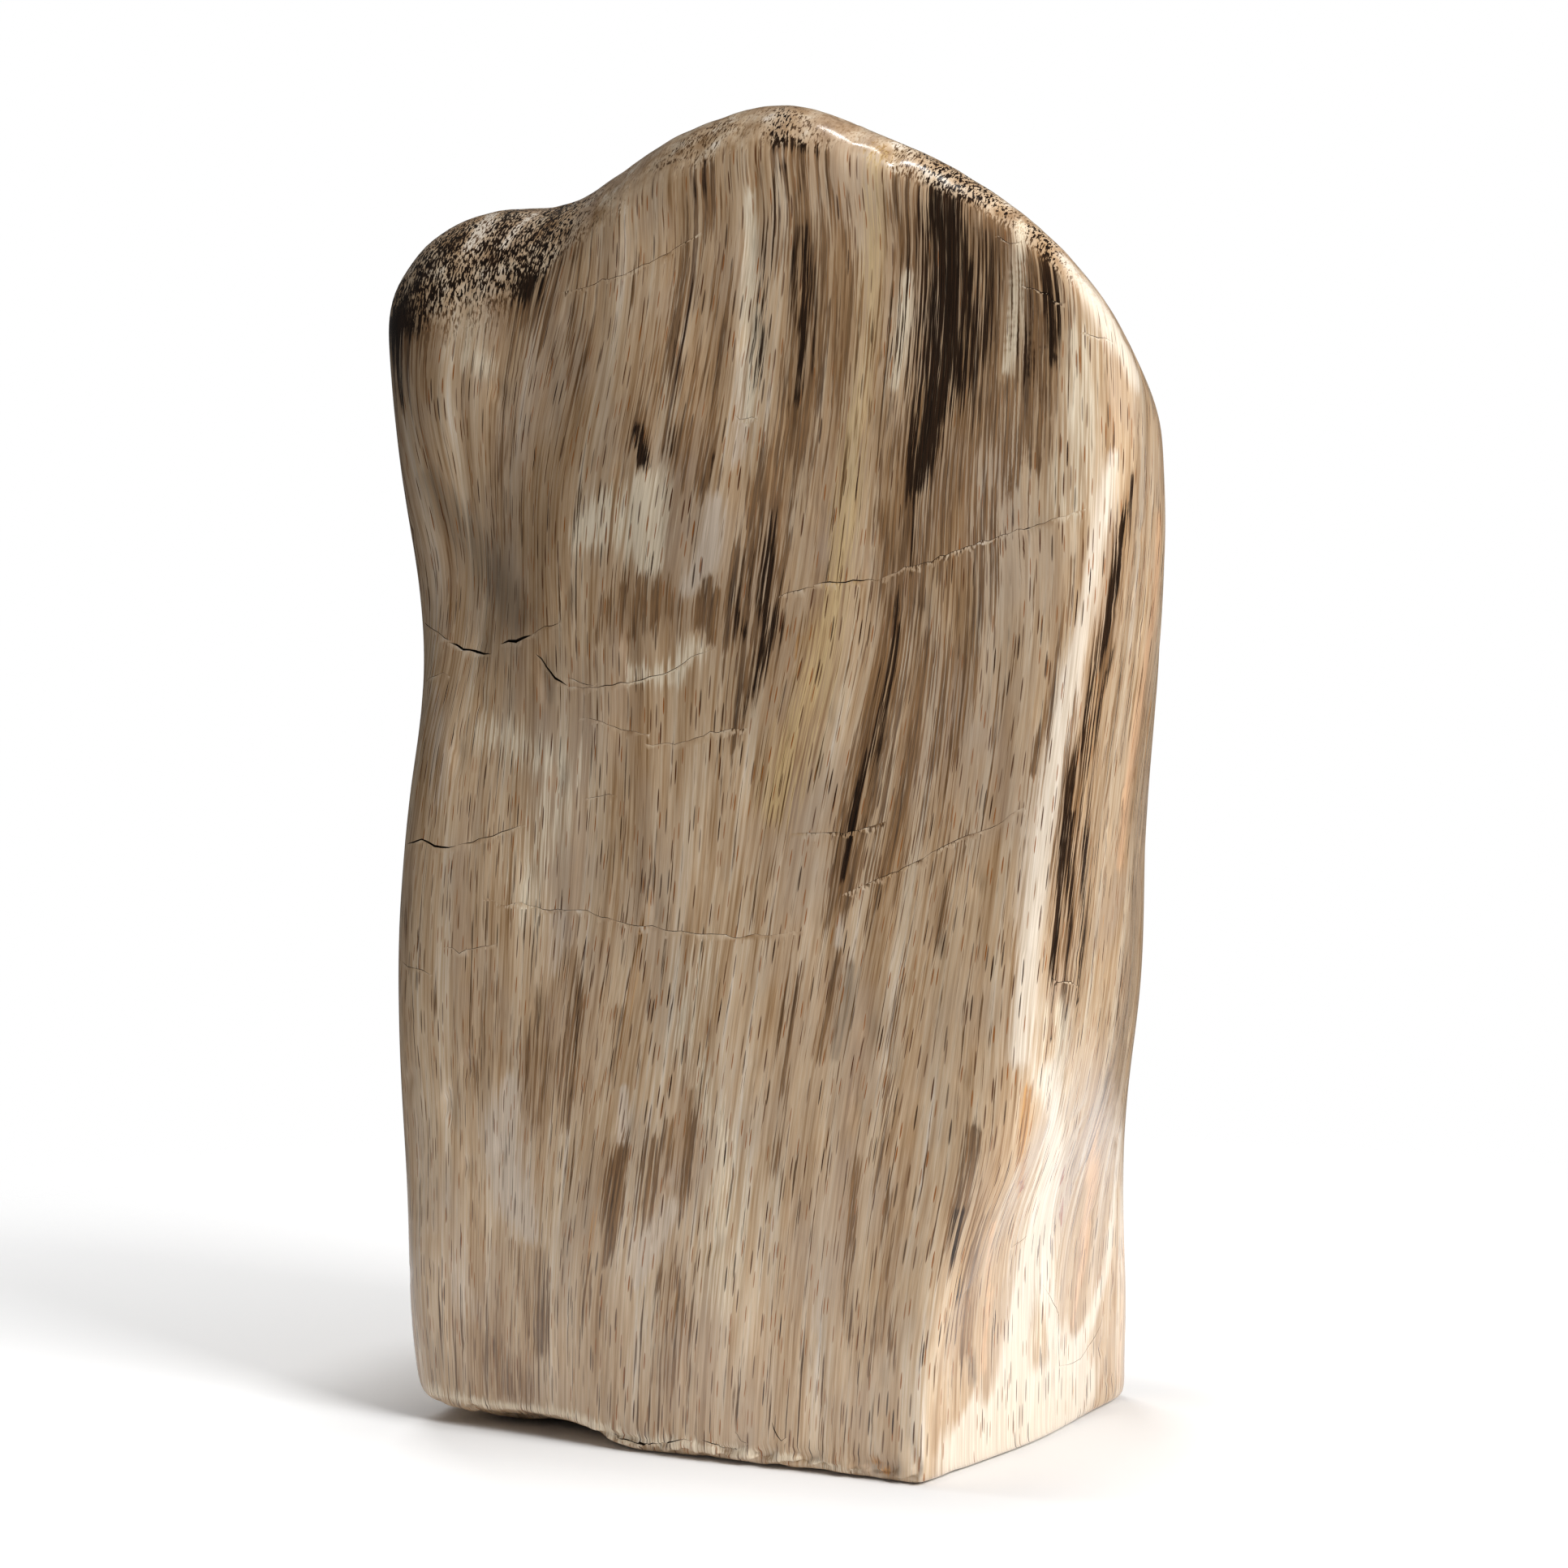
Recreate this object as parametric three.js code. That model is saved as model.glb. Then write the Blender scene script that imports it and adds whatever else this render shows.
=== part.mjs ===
// A free-standing specimen of fossil wood: one split length of silicified trunk, polished all round.
// A broad front face, a narrower right side, a wavy domed top and a sawn foot with a broken front edge.
// Millimetres. X runs along the front face to the right, Y from front to back and Z up.
import * as THREE from "three";

const HEIGHT = 400;

// The four upright corners of the block, each traced from the foot to the top.
// A row is [height, x, y, setback]: where the two faces would meet, and how far from there the
// rounding starts.
const FRONT_LEFT = [
  [0, -101, -70, 22],
  [30, -103, -71, 20],
  [70, -105, -71, 20],
  [120, -107.5, -71, 20],
  [150, -108, -70, 20],
  [190, -105.5, -69, 22],
  [216, -105.5, -67, 24],
  [240, -108.5, -65, 26],
  [262, -113, -63, 28],
  [290, -117.5, -62, 29],
  [320, -120, -62, 31],
  [345, -122.5, -62, 32],
  [HEIGHT, -123, -62, 32],
];
const FRONT_RIGHT = [
  [0, 83, -76, 4],
  [26, 84.5, -76, 4],
  [50, 88.5, -75, 7],
  [74, 98, -74, 14],
  [100, 112, -73, 20],
  [135, 121, -71, 22],
  [170, 125, -69, 22],
  [205, 129, -66, 22],
  [230, 132, -63, 22],
  [255, 135, -60, 22],
  [280, 137, -56, 22],
  [305, 137.5, -53, 24],
  [325, 136, -51, 26],
  [HEIGHT, 128, -48, 26],
];
const BACK_RIGHT = [
  [0, 88, 74, 20],
  [40, 89, 74, 24],
  [90, 90, 72, 30],
  [135, 95, 71, 34],
  [185, 96, 69, 36],
  [235, 101, 67, 38],
  [265, 102, 65, 40],
  [300, 98.5, 63, 40],
  [330, 97, 61, 40],
  [HEIGHT, 86, 58, 40],
];
const BACK_LEFT = [
  [0, -93, 72, 26],
  [60, -97, 73, 32],
  [130, -95, 70, 38],
  [210, -90, 66, 42],
  [280, -94, 63, 42],
  [340, -100, 60, 42],
  [HEIGHT, -104, 58, 42],
];

// How far the middle of each upright face stands proud of the flat between its corners.
const BOW = { front: 4, right: 4, back: 9, left: 6 };

// The crest of the top, its skyline from the front right: [place along X at CREST_Y, drop below the peak].
// Its rises and dips run from front to back at CREST_SLANT, and it falls away to the back and the front.
const CREST_Y = -15;
const CREST_SLANT = 0.45;
const CREST = [
  [-175, 32],
  [-150, 29.5],
  [-128, 27],
  [-110, 25.6],
  [-92, 25.6],
  [-80, 26.4],
  [-68, 26],
  [-56, 20.6],
  [-43, 13.7],
  [-30, 7.6],
  [-16, 3.6],
  [3, 0],
  [18, 2.2],
  [33, 8],
  [50, 15.2],
  [64, 22],
  [78, 31],
  [92, 41],
  [104, 52.6],
  [114, 64.5],
  [122, 74],
  [136, 91],
  [160, 121],
];
const FALL_TO_BACK = 0.0016;
const FALL_TO_FRONT = 0.0012;

// The radius of the rounding where the top meets the upright faces, at the four corners.
const RIM_RADIUS = { frontLeft: 32, frontRight: 13, backRight: 20, backLeft: 30 };

// Hollows and swellings of the trunk's surface: where, how far they reach each way, which way they push.
const SWELLINGS = {
  hollowUnderShoulder: { at: [-86, -68, 256], reach: [26, 40, 36], push: [0, 9, 0] },
  leftShoulder: { at: [-88, -60, 322], reach: [26, 40, 26], push: [0, -4, 0] },
  swellAtLeftOfFront: { at: [-70, -70, 150], reach: [34, 40, 55], push: [0, -2.5, 0] },
  browOverHollow: { at: [-30, -70, 330], reach: [34, 40, 50], push: [0, -3, 0] },
  dishLowOnRightSide: { at: [95, 0, 60], reach: [40, 34, 45], push: [-3, 0, 0] },
  fluteDownBack: { at: [10, 75, 210], reach: [20, 40, 120], push: [0, -7, 0] },
  ribBesideFlute: { at: [-38, 75, 190], reach: [20, 40, 110], push: [0, 5, 0] },
  hollowInLeftSide: { at: [-100, 5, 190], reach: [40, 24, 80], push: [6, 0, 0] },
  bulgeOnLeftSide: { at: [-105, 20, 90], reach: [40, 26, 50], push: [-4, 0, 0] },
};

// Low waves that keep a polished face from being dead flat: the wavelength along each axis, a phase and
// a height. They fade in over the first stretch above the foot.
const WAVES = [
  { length: [83, 71, 139], phase: 0.4, height: 0.35 },
  { length: [-57, 59, 87], phase: 2.1, height: 0.25 },
  { length: [31, -37, 61], phase: 4.0, height: 0.12 },
];
const WAVES_START = 30;

// The sawn foot's edge is broken away along the front: [x along the front, height of the broken edge].
// The break reaches in under the block by its height times a factor, and fades out along both sides.
const FRONT_BREAK = [
  [-108, 12],
  [-100, 10],
  [-92, 6],
  [-81, 4.2],
  [-68, 5.2],
  [-56, 6],
  [-40, 6],
  [-31, 4.8],
  [-24, 2.4],
  [-15, 0.9],
  [3, 1.5],
  [20, 0.9],
  [82, 0.7],
  [110, 0.7],
];
const BREAK_DEPTH_FOR_HEIGHT = 2.6;
const BREAK_FADES_FROM_Y = -62;
const BREAK_ENDS_AT_Y = -30;
// Elsewhere the saw's edge is only eased: this high, and drawn in this far.
const PLAIN_EDGE = 1.1;
const EDGE_INSET = 1.4;

// The outline drawn in by this depth, for the way into the block: its corners are this much tighter.
const SHRUNK = { depth: 40, setback: 0.35 };

// How finely the surface is divided.
const HALF_CORNER = 2;
const FRONT_SEGMENTS = 28;
const SIDE_SEGMENTS = 12;
const WALL_ROWS = 34;
const RIM_ROWS = 5;
const RIM_SEARCH_START = 0.9 * HEIGHT;
const RIM_SEARCH_STEPS = 12;

// A smooth curve through rows of [position, value, value...].
function smooth(rows) {
  const positions = rows.map((row) => row[0]);
  const values = rows.flatMap((row) => row.slice(1));
  const curve = new THREE.CubicInterpolant(positions, values, rows[0].length - 1);
  return (t) => Array.from(curve.evaluate(t));
}

const corners = [FRONT_LEFT, FRONT_RIGHT, BACK_RIGHT, BACK_LEFT].map(smooth);
const bows = [BOW.front, BOW.right, BOW.back, BOW.left];
const rimRadii = [RIM_RADIUS.frontLeft, RIM_RADIUS.frontRight, RIM_RADIUS.backRight, RIM_RADIUS.backLeft];
const faceSegments = [FRONT_SEGMENTS, SIDE_SEGMENTS, FRONT_SEGMENTS, SIDE_SEGMENTS];
const crestDrop = smooth(CREST);
const breakHeight = smooth(FRONT_BREAK);

// One column of the surface for each place round the outline, from the middle of the front left corner on.
// A column lies on the rounding of a corner, or part of the way along a face.
const columns = faceSegments.flatMap((segments, face) => {
  const next = (face + 1) % 4;
  const run = [];
  for (let i = 0; i < HALF_CORNER; i++) run.push({ corner: face, turn: 0.5 + i / (2 * HALF_CORNER) });
  for (let i = 0; i < segments; i++) run.push({ face, share: i / segments });
  for (let i = 0; i < HALF_CORNER; i++) run.push({ corner: next, turn: i / (2 * HALF_CORNER) });
  const steps = run.length;
  return run.map((column, i) => ({ ...column, from: face, along: i / steps }));
});

// Where the two faces of a corner would meet at a height, drawn in by a depth from both faces.
function cornerPoint(index, z, depth) {
  const point = (i) => {
    const [x, y] = corners[(i + 4) % 4](z);
    return new THREE.Vector2(x, y);
  };
  const tip = point(index);
  const before = point(index - 1).sub(tip).normalize();
  const after = point(index + 1).sub(tip).normalize();
  return tip.addScaledVector(before.add(after), depth);
}

// The rounding of one corner: a curve from one face, bent towards the corner point, to the next face.
function cornerCurve(index, z, depth) {
  const tip = cornerPoint(index, z, depth);
  const plainSetback = corners[(index + 4) % 4](z)[2];
  const setback = plainSetback * THREE.MathUtils.lerp(1, SHRUNK.setback, depth / SHRUNK.depth);
  const before = cornerPoint(index - 1, z, depth).sub(tip).setLength(setback).add(tip);
  const after = cornerPoint(index + 1, z, depth).sub(tip).setLength(setback).add(tip);
  return new THREE.QuadraticBezierCurve(before, tip, after);
}

// Where a column stands on the outline at a height, or on the outline drawn in by a depth.
function onOutline(column, z, depth = 0) {
  if (column.corner !== undefined) return cornerCurve(column.corner, z, depth).getPoint(column.turn);
  const start = cornerCurve(column.face, z, depth).getPoint(1);
  const end = cornerCurve((column.face + 1) % 4, z, depth).getPoint(0);
  const along = end.clone().sub(start);
  const outward = new THREE.Vector2(along.y, -along.x).normalize();
  const bow = bows[column.face] * Math.sin(Math.PI * column.share) ** 2;
  return start.addScaledVector(along, column.share).addScaledVector(outward, bow);
}

// The way into the block from a column, level, for one millimetre in from the faces.
function inward(column, z) {
  return onOutline(column, z, SHRUNK.depth).sub(onOutline(column, z)).divideScalar(SHRUNK.depth);
}

// The rounding over the rim at a column, blended from each corner's own radius to the next.
function rimRadius({ from, along }) {
  const blend = THREE.MathUtils.smoothstep(along, 0, 1);
  return THREE.MathUtils.lerp(rimRadii[from], rimRadii[(from + 1) % 4], blend);
}

// The height of the top surface, before its edge is rounded over.
function topHeight(x, y) {
  const across = x + CREST_SLANT * (y - CREST_Y);
  const behind = y - CREST_Y;
  const fall = behind > 0 ? FALL_TO_BACK * behind ** 2 : FALL_TO_FRONT * behind ** 2;
  return HEIGHT - crestDrop(across)[0] - fall;
}

// The height at which a column's wall ends and the rounding over the top begins.
function rimHeight(column, radius) {
  let z = RIM_SEARCH_START;
  for (let i = 0; i < RIM_SEARCH_STEPS; i++) {
    const foot = onOutline(column, z);
    z = (z + topHeight(foot.x, foot.y) - radius) / 2;
  }
  return z;
}

// Moves a point by the swellings and the low waves, which fade out at the sawn foot.
function weathered(point) {
  const moved = point.clone();
  for (const { at, reach, push } of Object.values(SWELLINGS)) {
    const distance = new THREE.Vector3(...at).sub(point).divide(new THREE.Vector3(...reach));
    moved.addScaledVector(new THREE.Vector3(...push), Math.exp(-distance.lengthSq()));
  }
  const outward = new THREE.Vector3(point.x, point.y, 0).normalize();
  const fade = THREE.MathUtils.smoothstep(point.z, 0, WAVES_START);
  for (const { length, phase, height } of WAVES) {
    const turns = point.x / length[0] + point.y / length[1] + point.z / length[2];
    const wave = Math.sin(2 * Math.PI * turns + phase);
    moved.addScaledVector(outward, wave * height * fade);
  }
  return moved;
}

const vertices = [];
const faces = [];
const addVertex = (point) => vertices.push(point) - 1;
const addQuad = (a, b, c, d) => faces.push([a, b, c], [a, c, d]);

// Rings from the sawn foot up the walls and over the rim, one vertex for each column.
const rings = [];
const addRing = (place) => rings.push(columns.map((column, i) => addVertex(place(column, i))));

const edges = columns.map((column) => {
  const { x, y } = onOutline(column, 0);
  const atFront = 1 - THREE.MathUtils.smoothstep(y, BREAK_FADES_FROM_Y, BREAK_ENDS_AT_Y);
  const height = THREE.MathUtils.lerp(PLAIN_EDGE, breakHeight(x)[0], atFront);
  const radius = rimRadius(column);
  const top = rimHeight(column, radius);
  return { height, radius, top, into: inward(column, 0), intoTop: inward(column, top) };
});

addRing((column, i) => {
  const { height, into } = edges[i];
  const place = onOutline(column, 0).addScaledVector(into, EDGE_INSET + height * BREAK_DEPTH_FOR_HEIGHT);
  return new THREE.Vector3(place.x, place.y, 0);
});
addRing((column, i) => {
  const { height, into } = edges[i];
  const place = onOutline(column, height).addScaledVector(into, EDGE_INSET);
  return new THREE.Vector3(place.x, place.y, height);
});
for (let row = 0; row <= WALL_ROWS; row++) {
  addRing((column, i) => {
    const z = THREE.MathUtils.lerp(edges[i].height + EDGE_INSET, edges[i].top, row / WALL_ROWS);
    const place = onOutline(column, z);
    return weathered(new THREE.Vector3(place.x, place.y, z));
  });
}
for (let row = 1; row <= RIM_ROWS; row++) {
  const turn = (row / RIM_ROWS) * (Math.PI / 2);
  addRing((column, i) => {
    const { radius, top, intoTop } = edges[i];
    const place = onOutline(column, top).addScaledVector(intoTop, radius * (1 - Math.cos(turn)));
    const z = topHeight(place.x, place.y) - radius * (1 - Math.sin(turn));
    return weathered(new THREE.Vector3(place.x, place.y, z));
  });
}
rings.slice(1).forEach((ring, level) => {
  ring.forEach((corner, i) => {
    const next = (i + 1) % ring.length;
    addQuad(rings[level][i], rings[level][next], ring[next], corner);
  });
});

// The top is a grid of squares stretched between the four sides of the last ring.
function addTop(ring) {
  const across = FRONT_SEGMENTS + 2 * HALF_CORNER;
  const deep = SIDE_SEGMENTS + 2 * HALF_CORNER;
  const front = (i) => ring[i];
  const right = (j) => ring[across + j];
  const back = (i) => ring[2 * across + deep - i];
  const left = (j) => ring[(2 * (across + deep) - j) % ring.length];
  const at = (index, weight) => vertices[index].clone().multiplyScalar(weight);
  const grid = [];
  for (let j = 0; j <= deep; j++) {
    const v = j / deep;
    grid.push([]);
    for (let i = 0; i <= across; i++) {
      const u = i / across;
      if (j === 0 || j === deep) grid[j].push(j === 0 ? front(i) : back(i));
      else if (i === 0 || i === across) grid[j].push(i === 0 ? left(j) : right(j));
      else {
        const place = at(front(i), 1 - v)
          .add(at(back(i), v))
          .add(at(left(j), 1 - u))
          .add(at(right(j), u))
          .sub(at(front(0), (1 - u) * (1 - v)))
          .sub(at(front(across), u * (1 - v)))
          .sub(at(back(0), (1 - u) * v))
          .sub(at(back(across), u * v));
        place.z = topHeight(place.x, place.y);
        grid[j].push(addVertex(weathered(place)));
      }
    }
  }
  for (let j = 0; j < deep; j++) {
    const [near, far] = [grid[j], grid[j + 1]];
    for (let i = 0; i < across; i++) addQuad(near[i], near[i + 1], far[i + 1], far[i]);
  }
}
addTop(rings[rings.length - 1]);

// The sawn foot is flat, and is divided like slices of a pie.
const hub = addVertex(new THREE.Vector3(0, 0, 0));
rings[0].forEach((corner, i) => faces.push([hub, rings[0][(i + 1) % columns.length], corner]));

// The part's origin is the middle of its box seen from above, on the surface that it stands on.
const box = new THREE.Box3().setFromPoints(vertices);
const centre = box.getCenter(new THREE.Vector3());

const positions = vertices.flatMap((vertex) => vertex.toArray());
const geometry = new THREE.BufferGeometry();
geometry.setAttribute("position", new THREE.Float32BufferAttribute(positions, 3));
geometry.setIndex(faces.flat());
geometry.translate(-centre.x, -centre.y, 0);
geometry.computeVertexNormals();

const silica = new THREE.MeshStandardMaterial({ color: 0xb39b80, roughness: 0.35, metalness: 0 });
const block = new THREE.Mesh(geometry, silica);
block.name = "fossil_wood";

const specimen = new THREE.Group();
specimen.add(block);
export default specimen;
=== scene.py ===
# %% [markdown]
# This scene dresses one specimen of fossil wood: a length of trunk whose wood has turned to silica, polished
# all round and sawn flat at the foot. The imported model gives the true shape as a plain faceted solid. The
# scene adds what a hand and an eye find on the real thing: a soft polish, fibres, vessels, stains and cracks.

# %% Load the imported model
import math

import bmesh
import bpy
import numpy as np
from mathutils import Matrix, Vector, noise
from mathutils.bvhtree import BVHTree


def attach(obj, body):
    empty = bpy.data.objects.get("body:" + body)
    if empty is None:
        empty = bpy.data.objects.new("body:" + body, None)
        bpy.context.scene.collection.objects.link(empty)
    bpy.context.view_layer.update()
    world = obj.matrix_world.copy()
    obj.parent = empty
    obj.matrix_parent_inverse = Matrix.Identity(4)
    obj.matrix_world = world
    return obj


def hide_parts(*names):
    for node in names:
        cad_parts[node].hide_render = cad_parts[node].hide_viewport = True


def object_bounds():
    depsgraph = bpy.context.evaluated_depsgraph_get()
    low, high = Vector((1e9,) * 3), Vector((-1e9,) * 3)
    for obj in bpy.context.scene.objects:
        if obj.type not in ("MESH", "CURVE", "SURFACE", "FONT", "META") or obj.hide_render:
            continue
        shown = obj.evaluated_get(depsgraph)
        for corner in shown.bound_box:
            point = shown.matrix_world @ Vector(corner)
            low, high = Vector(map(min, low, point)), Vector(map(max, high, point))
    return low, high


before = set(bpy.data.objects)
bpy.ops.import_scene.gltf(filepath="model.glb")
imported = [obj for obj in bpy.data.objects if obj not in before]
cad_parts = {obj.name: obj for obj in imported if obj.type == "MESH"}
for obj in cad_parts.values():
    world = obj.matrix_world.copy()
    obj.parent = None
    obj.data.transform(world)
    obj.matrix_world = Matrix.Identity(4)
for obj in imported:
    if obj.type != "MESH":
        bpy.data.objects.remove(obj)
cad_low, cad_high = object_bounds()
MM = 0.001
block_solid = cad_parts["fossil_wood"]
print("CAD box, mm:", [round(side / MM) for side in cad_high - cad_low])

# %% [markdown]
# The photograph was taken from the front right with a long lens, so the upright edges stay almost parallel.
# The camera could be placed by eye, but a place worked out from the edges of the foot and the height makes
# each pixel of the photograph a ray that meets the block where the same mark is. The stains and cracks below
# are placed in that way, by pixels of the photograph.

# %% Camera
PHOTO_SIZE = 1932
LENS_MM = 90
SENSOR_MM = 36
CAMERA_PLACE = Vector((0.5594, -1.0719, 0.263))
CAMERA_TURN = math.radians(28)
CAMERA_TILT = math.radians(3.2)

camera_data = bpy.data.cameras.new("camera")
camera_data.lens = LENS_MM
camera_data.sensor_width = SENSOR_MM
camera = bpy.data.objects.new("camera", camera_data)
camera.location = CAMERA_PLACE
camera.rotation_euler = (math.pi / 2 - CAMERA_TILT, 0, CAMERA_TURN)
bpy.context.scene.collection.objects.link(camera)
bpy.context.scene.camera = camera
print("camera stands", round(CAMERA_PLACE.to_2d().length / MM), "mm from the block's middle")

# %% Names for the work that follows
scene = bpy.context.scene
view_turn = camera.rotation_euler.to_matrix()


def linear(hex_colour):
    """A colour written as sRGB hex, as the linear numbers that a shader takes."""
    parts = [int(hex_colour[i:i + 2], 16) / 255 for i in (1, 3, 5)]
    return tuple(c / 12.92 if c <= 0.04045 else ((c + 0.055) / 1.055) ** 2.4 for c in parts) + (1.0,)


def link(thing):
    scene.collection.objects.link(thing)
    return thing


# %% [markdown]
# The solid has flat facets about 8 mm across, and polished stone has none. A voxel remesh would lose the sawn
# edge, so the facets are joined back into four-sided faces, and a Catmull-Clark subdivision rounds them off.
# The rim of the foot gets a crease, because a sawn edge stays sharp and the foot has to stay flat.

# %% Round off the facets
WELD = 0.01 * MM
SUBDIVISIONS = 2
LEVEL_WITH_TABLE = 0.02 * MM

cage = bmesh.new()
cage.from_mesh(block_solid.data)
bmesh.ops.remove_doubles(cage, verts=cage.verts, dist=WELD)
foot_faces = [f for f in cage.faces if all(v.co.z < LEVEL_WITH_TABLE for v in f.verts)]
foot = bmesh.ops.dissolve_faces(cage, faces=foot_faces)["region"]
rest = [f for f in cage.faces if f not in foot]
bmesh.ops.join_triangles(cage, faces=rest, angle_face_threshold=math.radians(60),
                         angle_shape_threshold=math.radians(80))
crease = cage.edges.layers.float.new("crease_edge")
for edge in cage.edges:
    if all(v.co.z < LEVEL_WITH_TABLE for v in edge.verts):
        edge[crease] = 1.0
cage_mesh = bpy.data.meshes.new("cage")
cage.to_mesh(cage_mesh)
print("cage:", len(cage.faces), "faces,", sum(len(f.verts) == 4 for f in cage.faces), "with four sides")
cage.free()

block = link(bpy.data.objects.new("polished_fossil_wood", cage_mesh))
rounding = block.modifiers.new("rounding", "SUBSURF")
rounding.levels = rounding.render_levels = SUBDIVISIONS


def settle(thing):
    """Turns what the modifiers make of a thing into its own mesh."""
    made = bpy.data.meshes.new_from_object(thing.evaluated_get(bpy.context.evaluated_depsgraph_get()))
    thing.modifiers.clear()
    thing.data = made
    return made


bpy.context.view_layer.update()
settle(block)
print("rounded:", len(block.data.vertices), "points")

# %% [markdown]
# No polish is dead flat. The wheel dips where the stone is softer, along the fibres, and leaves small pits.
# The front edge of the foot broke away before the piece was polished, so it is rough, with chips and flakes.
# This could be a bump in the material, but a bump leaves the outline smooth, so the points themselves move,
# always inwards, because the solid's box is the size of the real piece.

# %% Relief of the surface
def read_points(mesh, what="co"):
    values = np.empty(len(mesh.vertices) * 3, np.float32)
    mesh.vertices.foreach_get(what, values)
    return values.reshape(-1, 3).astype(float)


def lumps(points, size_across, size_along, seed):
    """Soft noise from -1 to 1 at each point, with lumps of these sizes in metres."""
    scaled = points / np.array([size_across, size_across, size_along]) + seed
    return np.array([noise.noise(Vector(p)) for p in scaled])


def ramp(values, start, end):
    """Smooth step from 0 at start to 1 at end."""
    t = np.clip((values - start) / (end - start), 0, 1)
    return t * t * (3 - 2 * t)


FLUTES = 0.30 * MM
PITS = 0.7 * MM
CHIPS = 2.2 * MM
CHIPPED_UP_TO = 9 * MM
# How far the broken front edge stands off the table: X in millimetres, and the lift there.
BROKEN_EDGE = [(-125, 0.6), (-90, 1.6), (-60, 2.0), (-40, 1.8), (-28, 0.5), (-5, 0.4), (5, 1.1), (40, 1.1),
               (70, 0.5), (95, 0.0)]

points = read_points(block.data)
normals = read_points(block.data, "normal")
upright = ramp(points[:, 2], 1 * MM, 12 * MM)
flutes = ramp(lumps(points, 7 * MM, 60 * MM, 3.1), -0.6, 0.6) * upright
pits = ramp(lumps(points, 6 * MM, 11 * MM, 17.7), 0.45, 0.75) * upright
front = ramp(-normals[:, 1], 0.1, 0.6) * ramp(-points[:, 1], 30 * MM, 55 * MM)
front_edge = ramp(-points[:, 1] - 0.15 * points[:, 0], 34 * MM, 50 * MM)
near_foot = 1 - ramp(points[:, 2], 3 * MM, CHIPPED_UP_TO)
off_table = ramp(points[:, 2], 0.05 * MM, 1.2 * MM)
chips = ramp(lumps(points, 4.5 * MM, 3.5 * MM, 8.2), -0.15, 0.4) * front * near_foot * off_table
depth = FLUTES * flutes + PITS * pits + CHIPS * chips
points -= normals * depth[:, None]
broken_x, broken_lift = np.array(BROKEN_EDGE).T * MM
lift = np.interp(points[:, 0], broken_x, broken_lift) * (1 + 0.5 * lumps(points, 6 * MM, 6 * MM, 29.4))
points[:, 2] += lift * front_edge * np.clip(1 - points[:, 2] / CHIPPED_UP_TO, 0, 1)
block.data.vertices.foreach_set("co", points.astype(np.float32).ravel())
block.data.update()
print("deepest relief, mm:", round(depth.max() / MM, 2))

# %% [markdown]
# Marks on the two faces in view are placed by pixels of the photograph. A ray from the camera through the
# pixel meets the block at the mark's place, so each mark lies on the stone from every side.

# %% Find the place of a pixel on the block
MM_PER_PIXEL = 0.24
MIDDLE_OF_BLOCK = (966, 980)
SLIDE = 0.01
MOST_SLIDES = 60
surface = BVHTree.FromObject(block, bpy.context.evaluated_depsgraph_get())


def seen_at(across, down):
    """The point of the block, and its normal, that the photograph shows at this pixel."""
    half = PHOTO_SIZE / 2
    pixels_per_metre = LENS_MM / SENSOR_MM * PHOTO_SIZE
    ray = view_turn @ Vector(((across - half) / pixels_per_metre, (half - down) / pixels_per_metre, -1))
    place, normal, _, _ = surface.ray_cast(CAMERA_PLACE, ray.normalized())
    return place, normal


def nearest_seen(across, down):
    """The same, for a pixel that may be just off the block: it slides towards the middle until it is on."""
    middle_x, middle_y = MIDDLE_OF_BLOCK
    place, normal = seen_at(across, down)
    steps = 0
    while place is None and steps < MOST_SLIDES:
        steps += 1
        share = 1 - SLIDE * steps
        place, normal = seen_at(middle_x + (across - middle_x) * share, middle_y + (down - middle_y) * share)
    return place, normal


print("the pixel in the middle shows the block at", [round(x / MM) for x in seen_at(966, 966)[0]], "mm")
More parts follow.
